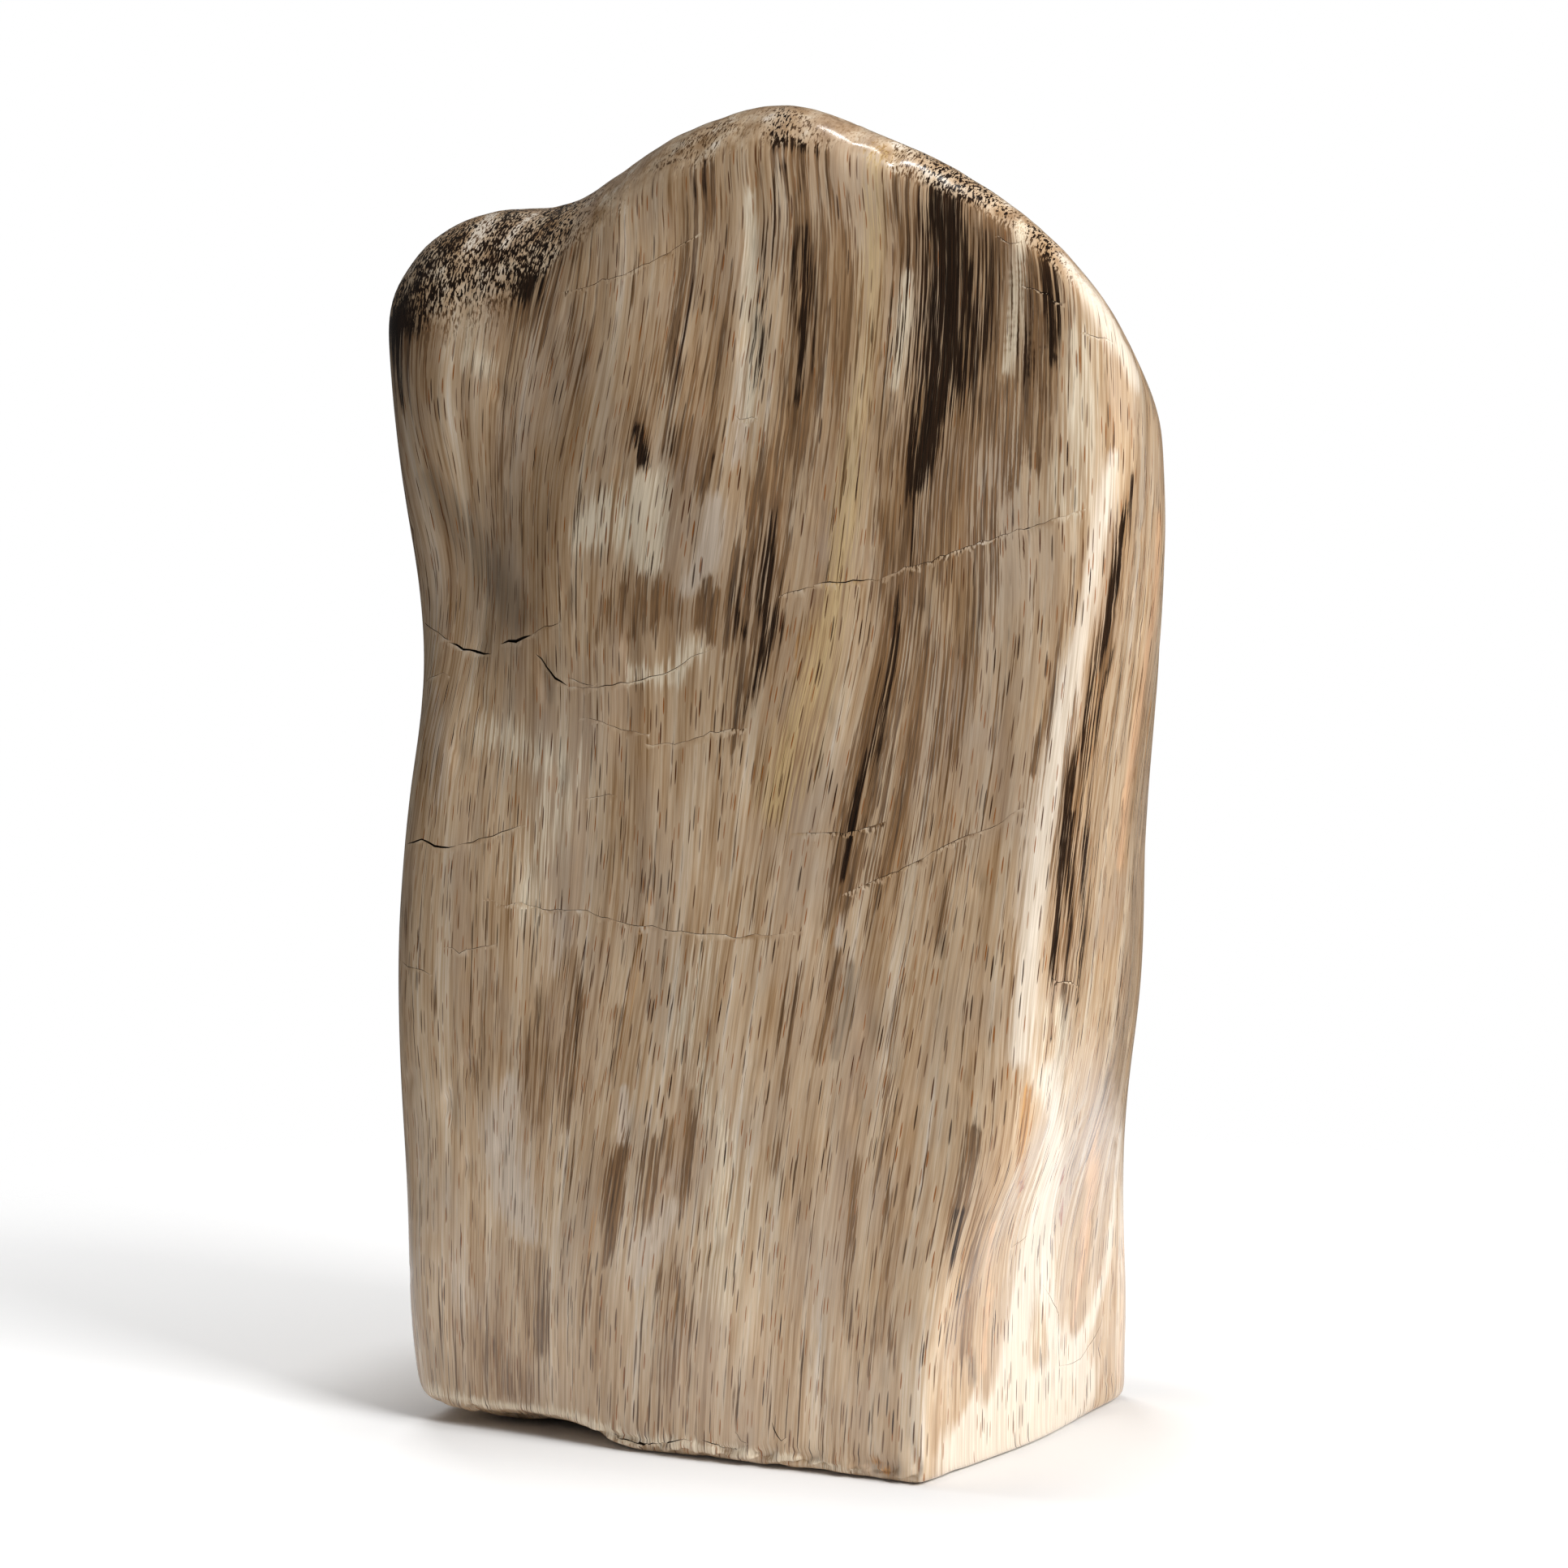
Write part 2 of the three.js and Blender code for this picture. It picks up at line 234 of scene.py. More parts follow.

# %% [markdown]
# Silica cracks as it shrinks. Most cracks are hairlines, and a few stand open. A dark line in the material
# would have no depth, so each crack is cut: a blade as thin as the crack follows its route and is taken out
# of the block. The blade's own material stays on the walls of the cut: dirt that no polish reaches, with
# painted shade on top, since a narrow crack is dark inside. The last four are small flakes at the broken
# edge of the foot.

# %% Routes of the cracks
# Each row is the width at the surface and the depth in millimetres, then the route in pixels of the photo.
# A real hairline is thinner than 0.1 mm. Every row here has 0.2 mm or more, so that it shows as a cut.
CRACKS = [
    (0.9, 7, [(555, 792), (566, 797), (580, 801), (592, 806), (605, 805)]),
    (1.0, 9, [(617, 794), (628, 790), (640, 788), (655, 783)]),
    (0.32, 2.5, [(515, 765), (528, 772), (540, 780), (555, 792)]),
    (0.25, 2, [(655, 783), (672, 771), (690, 769)]),
    (0.65, 5, [(660, 805), (668, 812), (674, 824), (686, 837), (699, 846)]),
    (0.3, 2, [(699, 846), (730, 846), (760, 843), (790, 838), (825, 828), (850, 812), (885, 795)]),
    (0.24, 1.5, [(698, 834), (715, 841), (732, 846)]),
    (0.22, 1.5, [(715, 885), (740, 888), (760, 897), (800, 905)]),
    (0.22, 1.5, [(795, 916), (822, 917), (850, 913), (872, 905), (890, 900), (920, 897)]),
    (0.75, 5, [(502, 1040), (513, 1037), (525, 1036), (533, 1042), (548, 1044), (562, 1042)]),
    (0.35, 2.5, [(562, 1042), (580, 1038), (600, 1031), (620, 1025), (645, 1016)]),
    (0.22, 1.5, [(720, 984), (742, 981), (760, 980)]),
    (0.24, 1.5, [(960, 735), (978, 729), (1003, 721)]),
    (0.45, 3, [(1003, 721), (1020, 717), (1040, 718), (1062, 714), (1080, 715)]),
    (0.24, 1.5, [(1080, 715), (1115, 700), (1150, 690), (1175, 679), (1200, 671), (1250, 655), (1300, 640),
        (1340, 626)]),
    (0.22, 1.5, [(690, 362), (705, 357), (724, 352), (743, 346), (762, 341), (791, 328), (823, 310),
        (864, 288)]),
    (0.25, 1.5, [(1040, 1102), (1068, 1088), (1100, 1076), (1132, 1060), (1178, 1035), (1221, 1020),
        (1260, 995)]),
    (0.22, 1.5, [(975, 1027), (1010, 1026), (1050, 1025), (1075, 1018), (1092, 1012)]),
    (0.24, 1.5, [(599, 1106), (619, 1116), (642, 1113), (672, 1120), (700, 1120), (725, 1123), (755, 1134),
        (790, 1140), (825, 1145), (865, 1150), (903, 1153), (941, 1153), (985, 1148)]),
    (0.26, 1.5, [(549, 1166), (558, 1168), (566, 1175), (575, 1170), (586, 1168), (599, 1166),
        (612, 1163)]),
    (0.24, 1.5, [(495, 1184), (503, 1192), (513, 1193), (522, 1197), (530, 1201)]),
    (0.22, 1.5, [(520, 839), (532, 834), (545, 830), (555, 832)]),
    (0.3, 2, [(1284, 1583), (1292, 1592), (1298, 1606), (1305, 1622), (1304, 1650), (1305, 1683)]),
    (0.26, 1.5, [(1305, 1683), (1318, 1681), (1330, 1676), (1338, 1664), (1346, 1652), (1354, 1638),
        (1362, 1615)]),
    (0.2, 1.2, [(1287, 1621), (1290, 1650), (1287, 1690), (1286, 1725), (1286, 1762)]),
    (0.24, 1.5, [(1296, 1205), (1306, 1211), (1318, 1208), (1327, 1213)]),
    (0.3, 1.2, [(1230, 290), (1238, 297), (1247, 301), (1258, 298)]),
    (0.35, 1.5, [(1258, 350), (1268, 356), (1282, 358), (1291, 361), (1297, 371), (1313, 375)]),
    (0.25, 1.2, [(1335, 407), (1345, 413), (1360, 415), (1370, 422)]),
    (0.22, 1.2, [(905, 512), (915, 518), (926, 513), (934, 517)]),
    (0.25, 1.2, [(1246, 1538), (1256, 1530), (1266, 1522)]),
    (0.5, 2.5, [(752, 1762), (765, 1772), (790, 1779), (815, 1778), (838, 1774), (852, 1776)]),
    (0.4, 2, [(864, 1774), (880, 1781), (900, 1785), (912, 1784)]),
    (0.45, 2, [(951, 1752), (955, 1765), (962, 1776), (970, 1771)]),
    (0.3, 1.5, [(905, 1765), (912, 1774), (922, 1779)]),
]
STEP_MM = 2.2
WANDER = 0.45 * MM


def route_points(route, seed):
    """The route at short, even steps on the surface, with a small wander, and the normals there."""
    xy = np.array(route, float)
    run = np.concatenate([[0], np.cumsum(np.linalg.norm(np.diff(xy, axis=0), axis=1))])
    steps = max(4, round(run[-1] / (STEP_MM / MM_PER_PIXEL)))
    places = []
    for along in np.linspace(0, run[-1], steps + 1):
        place, normal = nearest_seen(np.interp(along, run, xy[:, 0]), np.interp(along, run, xy[:, 1]))
        wander = noise.noise(Vector((along * 0.09, seed * 3.7, 0)))
        places.append((place + Vector((0, 0, WANDER * 2 * wander)), normal))
    return places


# %% Cut the cracks
PROUD = 0.8 * MM  # how far a blade stands out of the stone
WIDER_OUTSIDE = 1.25  # and how much wider it is out there
TAPER = 5  # it tapers over a fifth of its length at each end
THINNEST = 0.12


def blade(width, depth, route, seed):
    """A thin wedge along the route: widest at the surface, sharp inside, and pointed at both ends."""
    mesh = bmesh.new()
    rings = []
    places = route_points(route, seed)
    for i, (place, normal) in enumerate(places):
        share = i / (len(places) - 1)
        rough = 0.75 + 0.5 * noise.noise(Vector((i * 0.8, seed * 5.1, 2.0)))
        swell = max(THINNEST, min(1.0, TAPER * share, TAPER * (1 - share))) * rough
        ahead = places[min(i + 1, len(places) - 1)][0] - places[max(i - 1, 0)][0]
        side = normal.cross(ahead).normalized() * (width * MM / 2 * swell)
        top = place + normal * PROUD
        tip = place - normal * (depth * MM * swell)
        wide_side = side * WIDER_OUTSIDE
        rings.append([mesh.verts.new(p) for p in (top + wide_side, top - wide_side, tip)])
    for near, far in zip(rings, rings[1:]):
        for j in range(3):
            k = (j + 1) % 3
            mesh.faces.new((near[j], near[k], far[k], far[j]))
    mesh.faces.new(rings[0][::-1])
    mesh.faces.new(rings[-1])
    bmesh.ops.recalc_face_normals(mesh, faces=mesh.faces)
    bmesh.ops.triangulate(mesh, faces=mesh.faces)
    return mesh


def cut(thing, tool_mesh, material):
    """Takes a closed tool away from a thing, and leaves the tool's material on the cut."""
    mesh = bpy.data.meshes.new("tool")
    tool_mesh.to_mesh(mesh)
    tool_mesh.free()
    mesh.materials.append(material)
    tool = link(bpy.data.objects.new("tool", mesh))
    boolean = thing.modifiers.new("cut", "BOOLEAN")
    boolean.operation = "DIFFERENCE"
    boolean.solver = "MANIFOLD"
    boolean.material_mode = "TRANSFER"
    boolean.object = tool
    bpy.context.view_layer.update()
    settle(thing)
    bpy.data.objects.remove(tool)


def side_normals(mesh):
    """The normal of each point, with the sawn foot left out."""
    corners = np.empty(len(mesh.loops), np.int32)
    mesh.loops.foreach_get("vertex_index", corners)
    totals = np.zeros((len(mesh.vertices), 3))
    for polygon in mesh.polygons:
        if polygon.center.z > LEVEL_WITH_TABLE:
            totals[corners[polygon.loop_start:polygon.loop_start + polygon.loop_total]] += \
                np.array(polygon.normal) * polygon.area
    return totals / np.maximum(np.linalg.norm(totals, axis=1), 1e-12)[:, None]


polish_normals = side_normals(block.data)
polish_faces = [tuple(polygon.vertices) for polygon in block.data.polygons]
polish_points = read_points(block.data)
polish_tree = BVHTree.FromPolygons([Vector(p) for p in polish_points], polish_faces)
stone = bpy.data.materials.new("silicified_wood_polished")
crack_wall_dirt_and_shade = bpy.data.materials.new("crack_wall_dirt_and_painted_shade")
block.data.materials.clear()
block.data.materials.append(stone)
for index, (width, depth, route) in enumerate(CRACKS):
    cut(block, blade(width, depth, route, index), crack_wall_dirt_and_shade)
print("cut", len(CRACKS), "cracks; the block has", len(block.data.polygons), "faces")

# %% [markdown]
# The grain runs up the piece, and leans where the trunk leaned. A pattern in plain X, Y and Z would stand
# straight, and the hollows and swellings would cut its fibres short. So each point of the surface gets a
# place of its own in the wood: how far round it lies and how high. Guide lines that follow the grain from the
# top to the foot, as a carver pencils them, say how far across the front it is, and round a corner the depth
# is added, so fibres run on over every hollow. On the crest the fibres end, and show as dots, so the points
# there also keep how much of an end they are.

# %% Guide lines of the grain, in pixels of the photograph, from the left to the front right edge
GRAIN_LINES = [
    [(484, 400), (494, 560), (508, 700), (517, 800), (512, 900), (502, 1000), (497, 1100), (494, 1250),
        (505, 1400), (507, 1550), (517, 1690)],
    [(590, 300), (575, 420), (562, 520), (560, 640), (565, 760), (565, 860), (560, 1000), (556, 1150),
        (553, 1300), (553, 1500), (556, 1720)],
    [(708, 256), (688, 310), (668, 370), (650, 430), (633, 500), (622, 560), (615, 640), (617, 760),
        (620, 900), (612, 1050), (607, 1200), (603, 1400), (600, 1580), (602, 1730)],
    [(745, 236), (735, 300), (722, 400), (706, 470), (690, 540), (680, 600), (676, 680), (680, 760),
        (683, 880), (676, 1000), (668, 1150), (658, 1300), (648, 1450), (642, 1600), (642, 1735)],
    [(800, 200), (795, 300), (785, 400), (772, 480), (757, 560), (748, 620), (742, 700), (738, 780),
        (740, 880), (734, 1000), (724, 1120), (706, 1250), (692, 1380), (680, 1500), (675, 1620),
        (678, 1740)],
    [(880, 160), (875, 250), (868, 330), (857, 400), (842, 490), (828, 560), (815, 640), (803, 720),
        (800, 800), (800, 900), (798, 1000), (794, 1100), (781, 1200), (766, 1290), (750, 1400),
        (735, 1500), (723, 1600), (720, 1745)],
    [(960, 140), (957, 250), (950, 330), (940, 420), (930, 500), (917, 600), (905, 690), (893, 780),
        (885, 860), (880, 950), (872, 1050), (862, 1150), (850, 1250), (838, 1350), (826, 1450),
        (815, 1550), (806, 1650), (800, 1780)],
    [(1040, 160), (1040, 300), (1036, 400), (1030, 500), (1018, 600), (1005, 700), (990, 800), (968, 900),
        (948, 1000), (932, 1100), (918, 1200), (903, 1300), (890, 1400), (880, 1500), (870, 1600),
        (860, 1785)],
    [(1120, 192), (1118, 300), (1112, 400), (1100, 500), (1090, 600), (1082, 700), (1070, 800), (1052, 880),
        (1032, 980), (1015, 1080), (1000, 1180), (985, 1280), (970, 1380), (957, 1480), (945, 1600),
        (935, 1795)],
    [(1215, 250), (1212, 330), (1200, 430), (1185, 520), (1170, 600), (1162, 700), (1150, 800), (1130, 900),
        (1110, 1000), (1088, 1100), (1068, 1200), (1050, 1300), (1035, 1400), (1022, 1500), (1010, 1600),
        (1000, 1805)],
    [(1300, 320), (1298, 400), (1290, 480), (1280, 560), (1268, 650), (1255, 740), (1240, 830), (1218, 930),
        (1195, 1020), (1172, 1110), (1150, 1200), (1128, 1300), (1105, 1400), (1087, 1500), (1075, 1600),
        (1060, 1812)],
    [(1390, 470), (1378, 560), (1360, 650), (1342, 750), (1322, 850), (1300, 950), (1280, 1050),
        (1262, 1150), (1245, 1250), (1238, 1350), (1233, 1450), (1229, 1550), (1225, 1650), (1222, 1740),
        (1220, 1788)],
]
HALF_FRONT = 118 * MM
FRONT_Y = -78 * MM
CORNER = (55 * MM, 95 * MM)
BACK_HALF = (5 * MM, 55 * MM)  # y where the sides hand over to the back
TRACK_TOP = 0.41
TRACK_STEPS = 206
SMOOTHING = 15
STEEPEST_LEAN = 0.3


def across_grain(points):
    """How far across the front each point lies, in metres, measured between the guide lines."""
    height = np.linspace(0, TRACK_TOP, TRACK_STEPS)
    window = np.hanning(SMOOTHING + 2)[1:-1]
    window /= window.sum()
    tracks = []
    for line in GRAIN_LINES:
        spots = np.array([nearest_seen(*pixel)[0] for pixel in line])[::-1]
        lean_up = (spots[-1, 0] - spots[-2, 0]) / max(spots[-1, 2] - spots[-2, 2], 1 * MM)
        track = np.interp(height, spots[:, 2], spots[:, 0])
        above = height > spots[-1, 2]
        track[above] += np.clip(lean_up, -STEEPEST_LEAN, STEEPEST_LEAN) * (height[above] - spots[-1, 2])
        padded = np.pad(track, SMOOTHING // 2, mode="edge")
        tracks.append(np.convolve(padded, window, mode="valid"))
    tracks = np.maximum.accumulate(np.array(tracks) + np.arange(len(tracks))[:, None] * 1e-6)
    names = np.linspace(-HALF_FRONT, HALF_FRONT, len(tracks))
    at_height = np.array([np.interp(points[:, 2], height, track) for track in tracks])
    left = np.clip((at_height <= points[:, 0]).sum(0) - 1, 0, len(tracks) - 2)
    column = np.arange(len(points))
    low, high = at_height[left, column], at_height[left + 1, column]
    share = (points[:, 0] - low) / np.maximum(high - low, 2 * MM)
    inside = names[left] + (names[left + 1] - names[left]) * np.clip(share, 0, 1)
    past_the_lines = points[:, 0] - np.clip(points[:, 0], at_height[0], at_height[-1])
    return inside + np.where((share < 0) | (share > 1), past_the_lines, 0)


def place_in_wood(points):
    """For each point: how far round the wood it lies and how high, in millimetres.

    On the front that is the place across the grain. Round a corner the depth behind the front is added to it,
    so the fibres on the sides stay upright. On the back it goes on growing towards the middle, where the two
    ways round meet along a fibre."""
    x, y = points[:, 0], points[:, 1]
    across = across_grain(points)
    behind_front = np.maximum(0, y - FRONT_Y)
    on_corner = np.where(y > 0, 1, ramp(np.abs(x), *CORNER))
    on_back = ramp(y, *BACK_HALF)
    side = np.sign(x)
    round_wood = across + side * behind_front * on_corner + 2 * on_back * (side * HALF_FRONT - across)
    return np.stack([round_wood, np.zeros(len(points)), points[:, 2]], 1) / MM


END_GRAIN_STARTS, END_GRAIN_FULL = 0.32, 0.62  # the upward part of the surface's normal
SHOULDER_SOONER = 0.3  # the left shoulder shows ends on a steeper slope

points = read_points(block.data)
normals = read_points(block.data, "normal")
left_shoulder = ramp(-points[:, 0], 50 * MM, 75 * MM) * ramp(points[:, 2], 290 * MM, 320 * MM)
end_grain = ramp(normals[:, 2] + SHOULDER_SOONER * left_shoulder, END_GRAIN_STARTS, END_GRAIN_FULL)
grain = place_in_wood(points)
print("the grain runs over", np.ptp(grain, axis=0).round(), "mm across, through and along")

# %% [markdown]
# The colours of fossil wood are stains that groundwater left. Each lies along the grain as a long tongue,
# dense in the middle and frayed at its edges. They could be painted as an image, but an image stretches round
# the corners. So a stain here is a drawn line with a width at each of its points, and every point of the
# surface keeps how dense each colour is there: most on the line, 0.4 of that at its half-width, and almost
# none at twice that. The material turns density into colour and frays it with the fibres, so the edges stay
# sharp although the points are 2 mm apart.

# %% Stains on the two faces in view, with a few rows of painted shade
# Each row is a colour and a strength, then the line: pixel across, pixel down and half-width in pixels.
STAINS_AND_PAINTED_SHADE = [
    ("brown", 0.26, [(745, 290, 36), (722, 400, 50), (690, 560, 40)]),
    ("brown", 0.30, [(876, 250, 44), (862, 380, 60), (838, 600, 50)]),
    ("brown", 0.30, [(1010, 250, 44), (1010, 380, 60), (985, 600, 50)]),
    ("brown", 0.30, [(1190, 640, 60), (1165, 800, 60), (1120, 980, 50)]),
    # Painted shade: this grey, and the broad brown low on the left further on, darken the lower left of the
    # front for the shade there, over some brown-grey stain.
    ("grey", 0.60, [(496, 1420, 16), (506, 1520, 20), (520, 1640, 30), (560, 1700, 40)]),
    ("pale", 0.90, [(530, 1712, 8), (600, 1730, 8), (700, 1742, 8), (770, 1772, 10), (850, 1782, 10),
        (960, 1796, 8), (1060, 1812, 6)]),
    # Painted shade: a thin dark grey line along the bottom of the broken front edge, where the edge meets the
    # shaded gap beneath it.
    ("grey", 0.50, [(545, 1735, 4), (640, 1741, 5), (735, 1756, 5), (790, 1786, 5), (900, 1792, 4)]),
    ("black", 1.28, [(488, 400, 22), (503, 362, 40), (528, 330, 46), (556, 304, 36), (582, 280, 20)]),
    ("black", 1.05, [(512, 402, 14), (508, 380, 18)]),
    ("black", 1.10, [(540, 356, 28), (562, 340, 22)]),
    ("black", 1.28, [(632, 260, 16), (618, 290, 22), (602, 322, 30), (592, 346, 18)]),
    ("black", 1.28, [(694, 256, 22), (674, 282, 36), (656, 314, 42), (646, 344, 32), (644, 360, 14)]),
    # Painted shade: this black line down the left edge, and the brown one further down it, are partly stain
    # and partly the shade of the edge turning away from the light.
    ("black", 0.72, [(484, 400, 12), (489, 450, 11), (498, 500, 6)]),
    ("brown", 1.10, [(500, 380, 30), (560, 340, 40), (640, 350, 34)]),
    ("brown", 0.55, [(535, 400, 16), (530, 450, 14), (524, 500, 8)]),
    ("white", 1.30, [(608, 264, 9), (590, 290, 11), (574, 308, 7)]),
    ("white", 1.10, [(657, 256, 5), (638, 280, 6), (620, 306, 4)]),
    ("pale", 0.60, [(575, 350, 24), (590, 390, 34), (560, 430, 34), (600, 450, 24)]),
    ("brown", 0.55, [(660, 345, 18), (655, 400, 14), (640, 465, 8)]),
    ("brown", 0.64, [(714, 300, 6), (708, 400, 8), (698, 470, 5)]),
    ("brown", 0.41, [(640, 470, 8), (622, 560, 10), (606, 600, 6)]),
    ("brown", 0.83, [(812, 205, 8), (848, 180, 16), (890, 156, 15)]),
    ("brown", 0.51, [(860, 190, 26), (860, 260, 26), (850, 330, 20), (838, 400, 14)]),
    ("black", 0.44, [(868, 200, 8), (860, 225, 12), (850, 250, 9)]),
    ("black", 0.55, [(862, 345, 8), (856, 380, 14), (848, 430, 12), (840, 490, 8)]),
    ("brown", 0.60, [(846, 440, 12), (840, 520, 14), (836, 600, 9)]),
    ("brown", 0.69, [(892, 390, 10), (882, 480, 12), (870, 560, 11), (862, 612, 6)]),
    ("black", 0.43, [(882, 560, 4), (876, 600, 6)]),
    ("brown", 0.46, [(812, 400, 16), (800, 470, 16), (790, 520, 12)]),
    ("black", 1.03, [(786, 528, 7), (788, 550, 12), (796, 571, 9)]),
    ("black", 0.58, [(832, 528, 8), (826, 556, 12)]),
    ("pale", 0.80, [(925, 240, 10), (926, 330, 14), (926, 430, 18), (922, 510, 14)]),
    ("lilac", 0.70, [(918, 440, 16), (915, 510, 20), (905, 570, 14)]),
    ("black", 0.72, [(967, 134, 9), (962, 150, 14), (957, 172, 12)]),
    ("black", 0.77, [(960, 172, 8), (984, 178, 11), (1003, 186, 9)]),
    ("black", 0.55, [(962, 205, 9), (953, 260, 10), (946, 330, 10), (940, 400, 9), (934, 480, 8)]),
    ("black", 0.44, [(994, 200, 9), (984, 240, 9)]),
    ("black", 0.72, [(989, 278, 9), (986, 330, 14), (985, 400, 15), (990, 452, 12), (983, 495, 8)]),
    ("brown", 0.55, [(980, 200, 28), (990, 330, 34), (985, 450, 30), (978, 560, 24)]),
    ("brown", 0.46, [(1046, 220, 9), (1045, 300, 12), (1040, 400, 12), (1030, 490, 10)]),
    ("brown", 0.51, [(975, 500, 24), (965, 600, 26), (948, 700, 26)]),
    ("honey", 0.80, [(1082, 190, 20), (1076, 300, 22), (1068, 420, 22), (1055, 520, 24), (1045, 620, 26),
        (1036, 700, 26), (1015, 800, 30), (985, 900, 34), (955, 1000, 30)]),
    ("pale", 0.90, [(1119, 338, 9), (1113, 400, 15), (1102, 475, 10)]),
    ("black", 1.10, [(1160, 207, 22), (1165, 250, 36), (1170, 300, 40), (1172, 350, 44), (1168, 400, 44),
        (1160, 450, 42), (1150, 500, 36), (1138, 550, 24), (1130, 600, 12)]),
    ("black", 0.82, [(1142, 192, 12), (1182, 216, 20), (1216, 245, 16), (1238, 262, 7)]),
    ("brown", 0.92, [(1115, 215, 12), (1112, 260, 16), (1112, 320, 13)]),
    ("ochre", 0.50, [(1118, 215, 8), (1116, 260, 10), (1114, 310, 8)]),
    ("brown", 1.01, [(1225, 285, 20), (1228, 350, 24), (1222, 420, 26), (1215, 480, 26), (1208, 530, 22)]),
    ("black", 0.44, [(1215, 290, 12), (1216, 360, 15), (1212, 440, 15)]),
    ("brown", 0.80, [(1155, 540, 50), (1142, 620, 38), (1122, 690, 30), (1112, 750, 20)]),
    ("brown", 0.83, [(1255, 480, 26), (1252, 545, 30), (1242, 600, 18)]),
    ("pale", 1.10, [(1258, 275, 9), (1256, 330, 12), (1248, 400, 12), (1240, 455, 10)]),
    ("black", 0.95, [(1274, 272, 7), (1290, 298, 14), (1298, 350, 15), (1298, 400, 13), (1296, 445, 8)]),
    ("brown", 0.83, [(1278, 330, 20), (1284, 430, 22), (1286, 500, 22), (1278, 565, 14)]),
    ("black", 0.50, [(1264, 415, 10), (1270, 460, 15), (1281, 490, 12)]),
    ("white", 0.90, [(1312, 318, 12), (1345, 362, 22), (1375, 410, 26), (1398, 462, 18)]),
    ("pale", 0.70, [(1330, 420, 26), (1332, 520, 30), (1320, 620, 28)]),
    ("tan", 0.50, [(1376, 460, 8), (1372, 550, 10), (1352, 640, 10)]),
    ("brown", 0.28, [(1350, 480, 10), (1340, 560, 10), (1326, 640, 8)]),
    # Painted shade: the grey over the hollow under the left shoulder is partly grey stone and partly the
    # shade of the hollow, which turns away from the light; the brown line after it is a painted shadow along
    # the hollow's edge.
    ("grey", 0.80, [(530, 590, 24), (560, 640, 44), (600, 700, 50), (640, 760, 34)]),
    ("brown", 0.50, [(608, 540, 12), (614, 600, 18), (626, 660, 18)]),
    # Painted shade down the left edge, partly brown stain.
    ("brown", 0.55, [(488, 480, 10), (499, 600, 13), (512, 700, 12)]),
    ("brown", 0.58, [(747, 742, 9), (742, 768, 10), (736, 786, 6)]),
    ("brown", 0.66, [(768, 726, 10), (762, 755, 11), (757, 788, 8)]),
    ("brown", 0.72, [(790, 716, 11), (785, 745, 12), (778, 785, 10)]),
    ("brown", 0.60, [(812, 708, 11), (806, 735, 12), (800, 775, 10)]),
    ("brown", 0.85, [(826, 702, 7), (820, 730, 9), (813, 760, 7)]),
    ("brown", 0.95, [(870, 712, 7), (865, 740, 10), (860, 775, 10)]),
    ("brown", 0.95, [(886, 735, 7), (880, 760, 11), (874, 790, 9)]),
    ("brown", 0.80, [(902, 750, 7), (898, 775, 9), (894, 795, 6)]),
    ("brown", 0.40, [(836, 740, 18), (832, 775, 18), (826, 800, 10)]),
    ("lilac", 0.90, [(882, 620, 16), (872, 680, 22), (848, 725, 13)]),
    ("pale", 1.00, [(800, 606, 38), (790, 650, 40), (800, 690, 26)]),
    ("pale", 0.80, [(744, 620, 26), (720, 660, 24)]),
    ("pale", 0.80, [(856, 800, 22), (830, 835, 16), (780, 830, 20)]),
    ("black", 0.74, [(946, 640, 9), (943, 690, 17), (936, 740, 18), (948, 772, 22), (940, 810, 14),
        (925, 852, 10), (912, 887, 6)]),
    ("black", 0.65, [(916, 680, 6), (906, 740, 8), (915, 782, 11)]),
    ("brown", 0.83, [(932, 600, 14), (926, 700, 30), (930, 790, 32), (912, 870, 18), (905, 915, 8)]),
    ("ochre", 0.70, [(985, 785, 6), (978, 815, 5)]),
    ("brown", 0.92, [(1096, 640, 16), (1102, 700, 20), (1106, 760, 20), (1096, 830, 26), (1080, 900, 24),
        (1064, 960, 26), (1056, 1020, 30), (1042, 1080, 26), (1030, 1130, 16)]),
    ("black", 0.74, [(1098, 720, 6), (1106, 780, 8), (1092, 850, 8), (1078, 920, 8), (1054, 980, 9),
        (1046, 1030, 12), (1036, 1085, 8)]),
    ("brown", 0.60, [(1142, 790, 10), (1127, 870, 14), (1110, 940, 16), (1102, 1000, 18),
        (1086, 1080, 16)]),
    ("brown", 0.32, [(1178, 600, 34), (1168, 740, 40), (1150, 860, 40), (1130, 980, 40), (1105, 1100, 40)]),
    ("black", 0.58, [(1130, 618, 6), (1125, 660, 9), (1120, 702, 6)]),
    ("black", 0.50, [(1129, 738, 4), (1124, 782, 4)]),
    ("brown", 0.51, [(1218, 620, 14), (1207, 740, 16), (1195, 850, 14), (1180, 930, 10)]),
    ("brown", 0.74, [(1319, 690, 5), (1313, 740, 8), (1305, 800, 7), (1290, 880, 6), (1274, 950, 5)]),
    ("brown", 0.46, [(1262, 1040, 9), (1251, 1100, 11), (1238, 1180, 9)]),
    ("brown", 0.37, [(1228, 860, 14), (1200, 960, 18), (1178, 1060, 18), (1150, 1160, 16)]),
    ("grey", 0.50, [(1240, 780, 16), (1215, 880, 18), (1180, 980, 16)]),
    ("brown", 0.69, [(1034, 1180, 11), (1022, 1240, 14), (1012, 1300, 10)]),
    ("grey", 0.80, [(1048, 1190, 12), (1040, 1250, 18), (1030, 1300, 10)]),
    ("brown", 0.50, [(1112, 1220, 12), (1096, 1300, 15), (1085, 1370, 15), (1074, 1460, 12)]),
    ("brown", 0.60, [(1056, 1430, 10), (1048, 1500, 14), (1040, 1570, 14), (1046, 1645, 8)]),
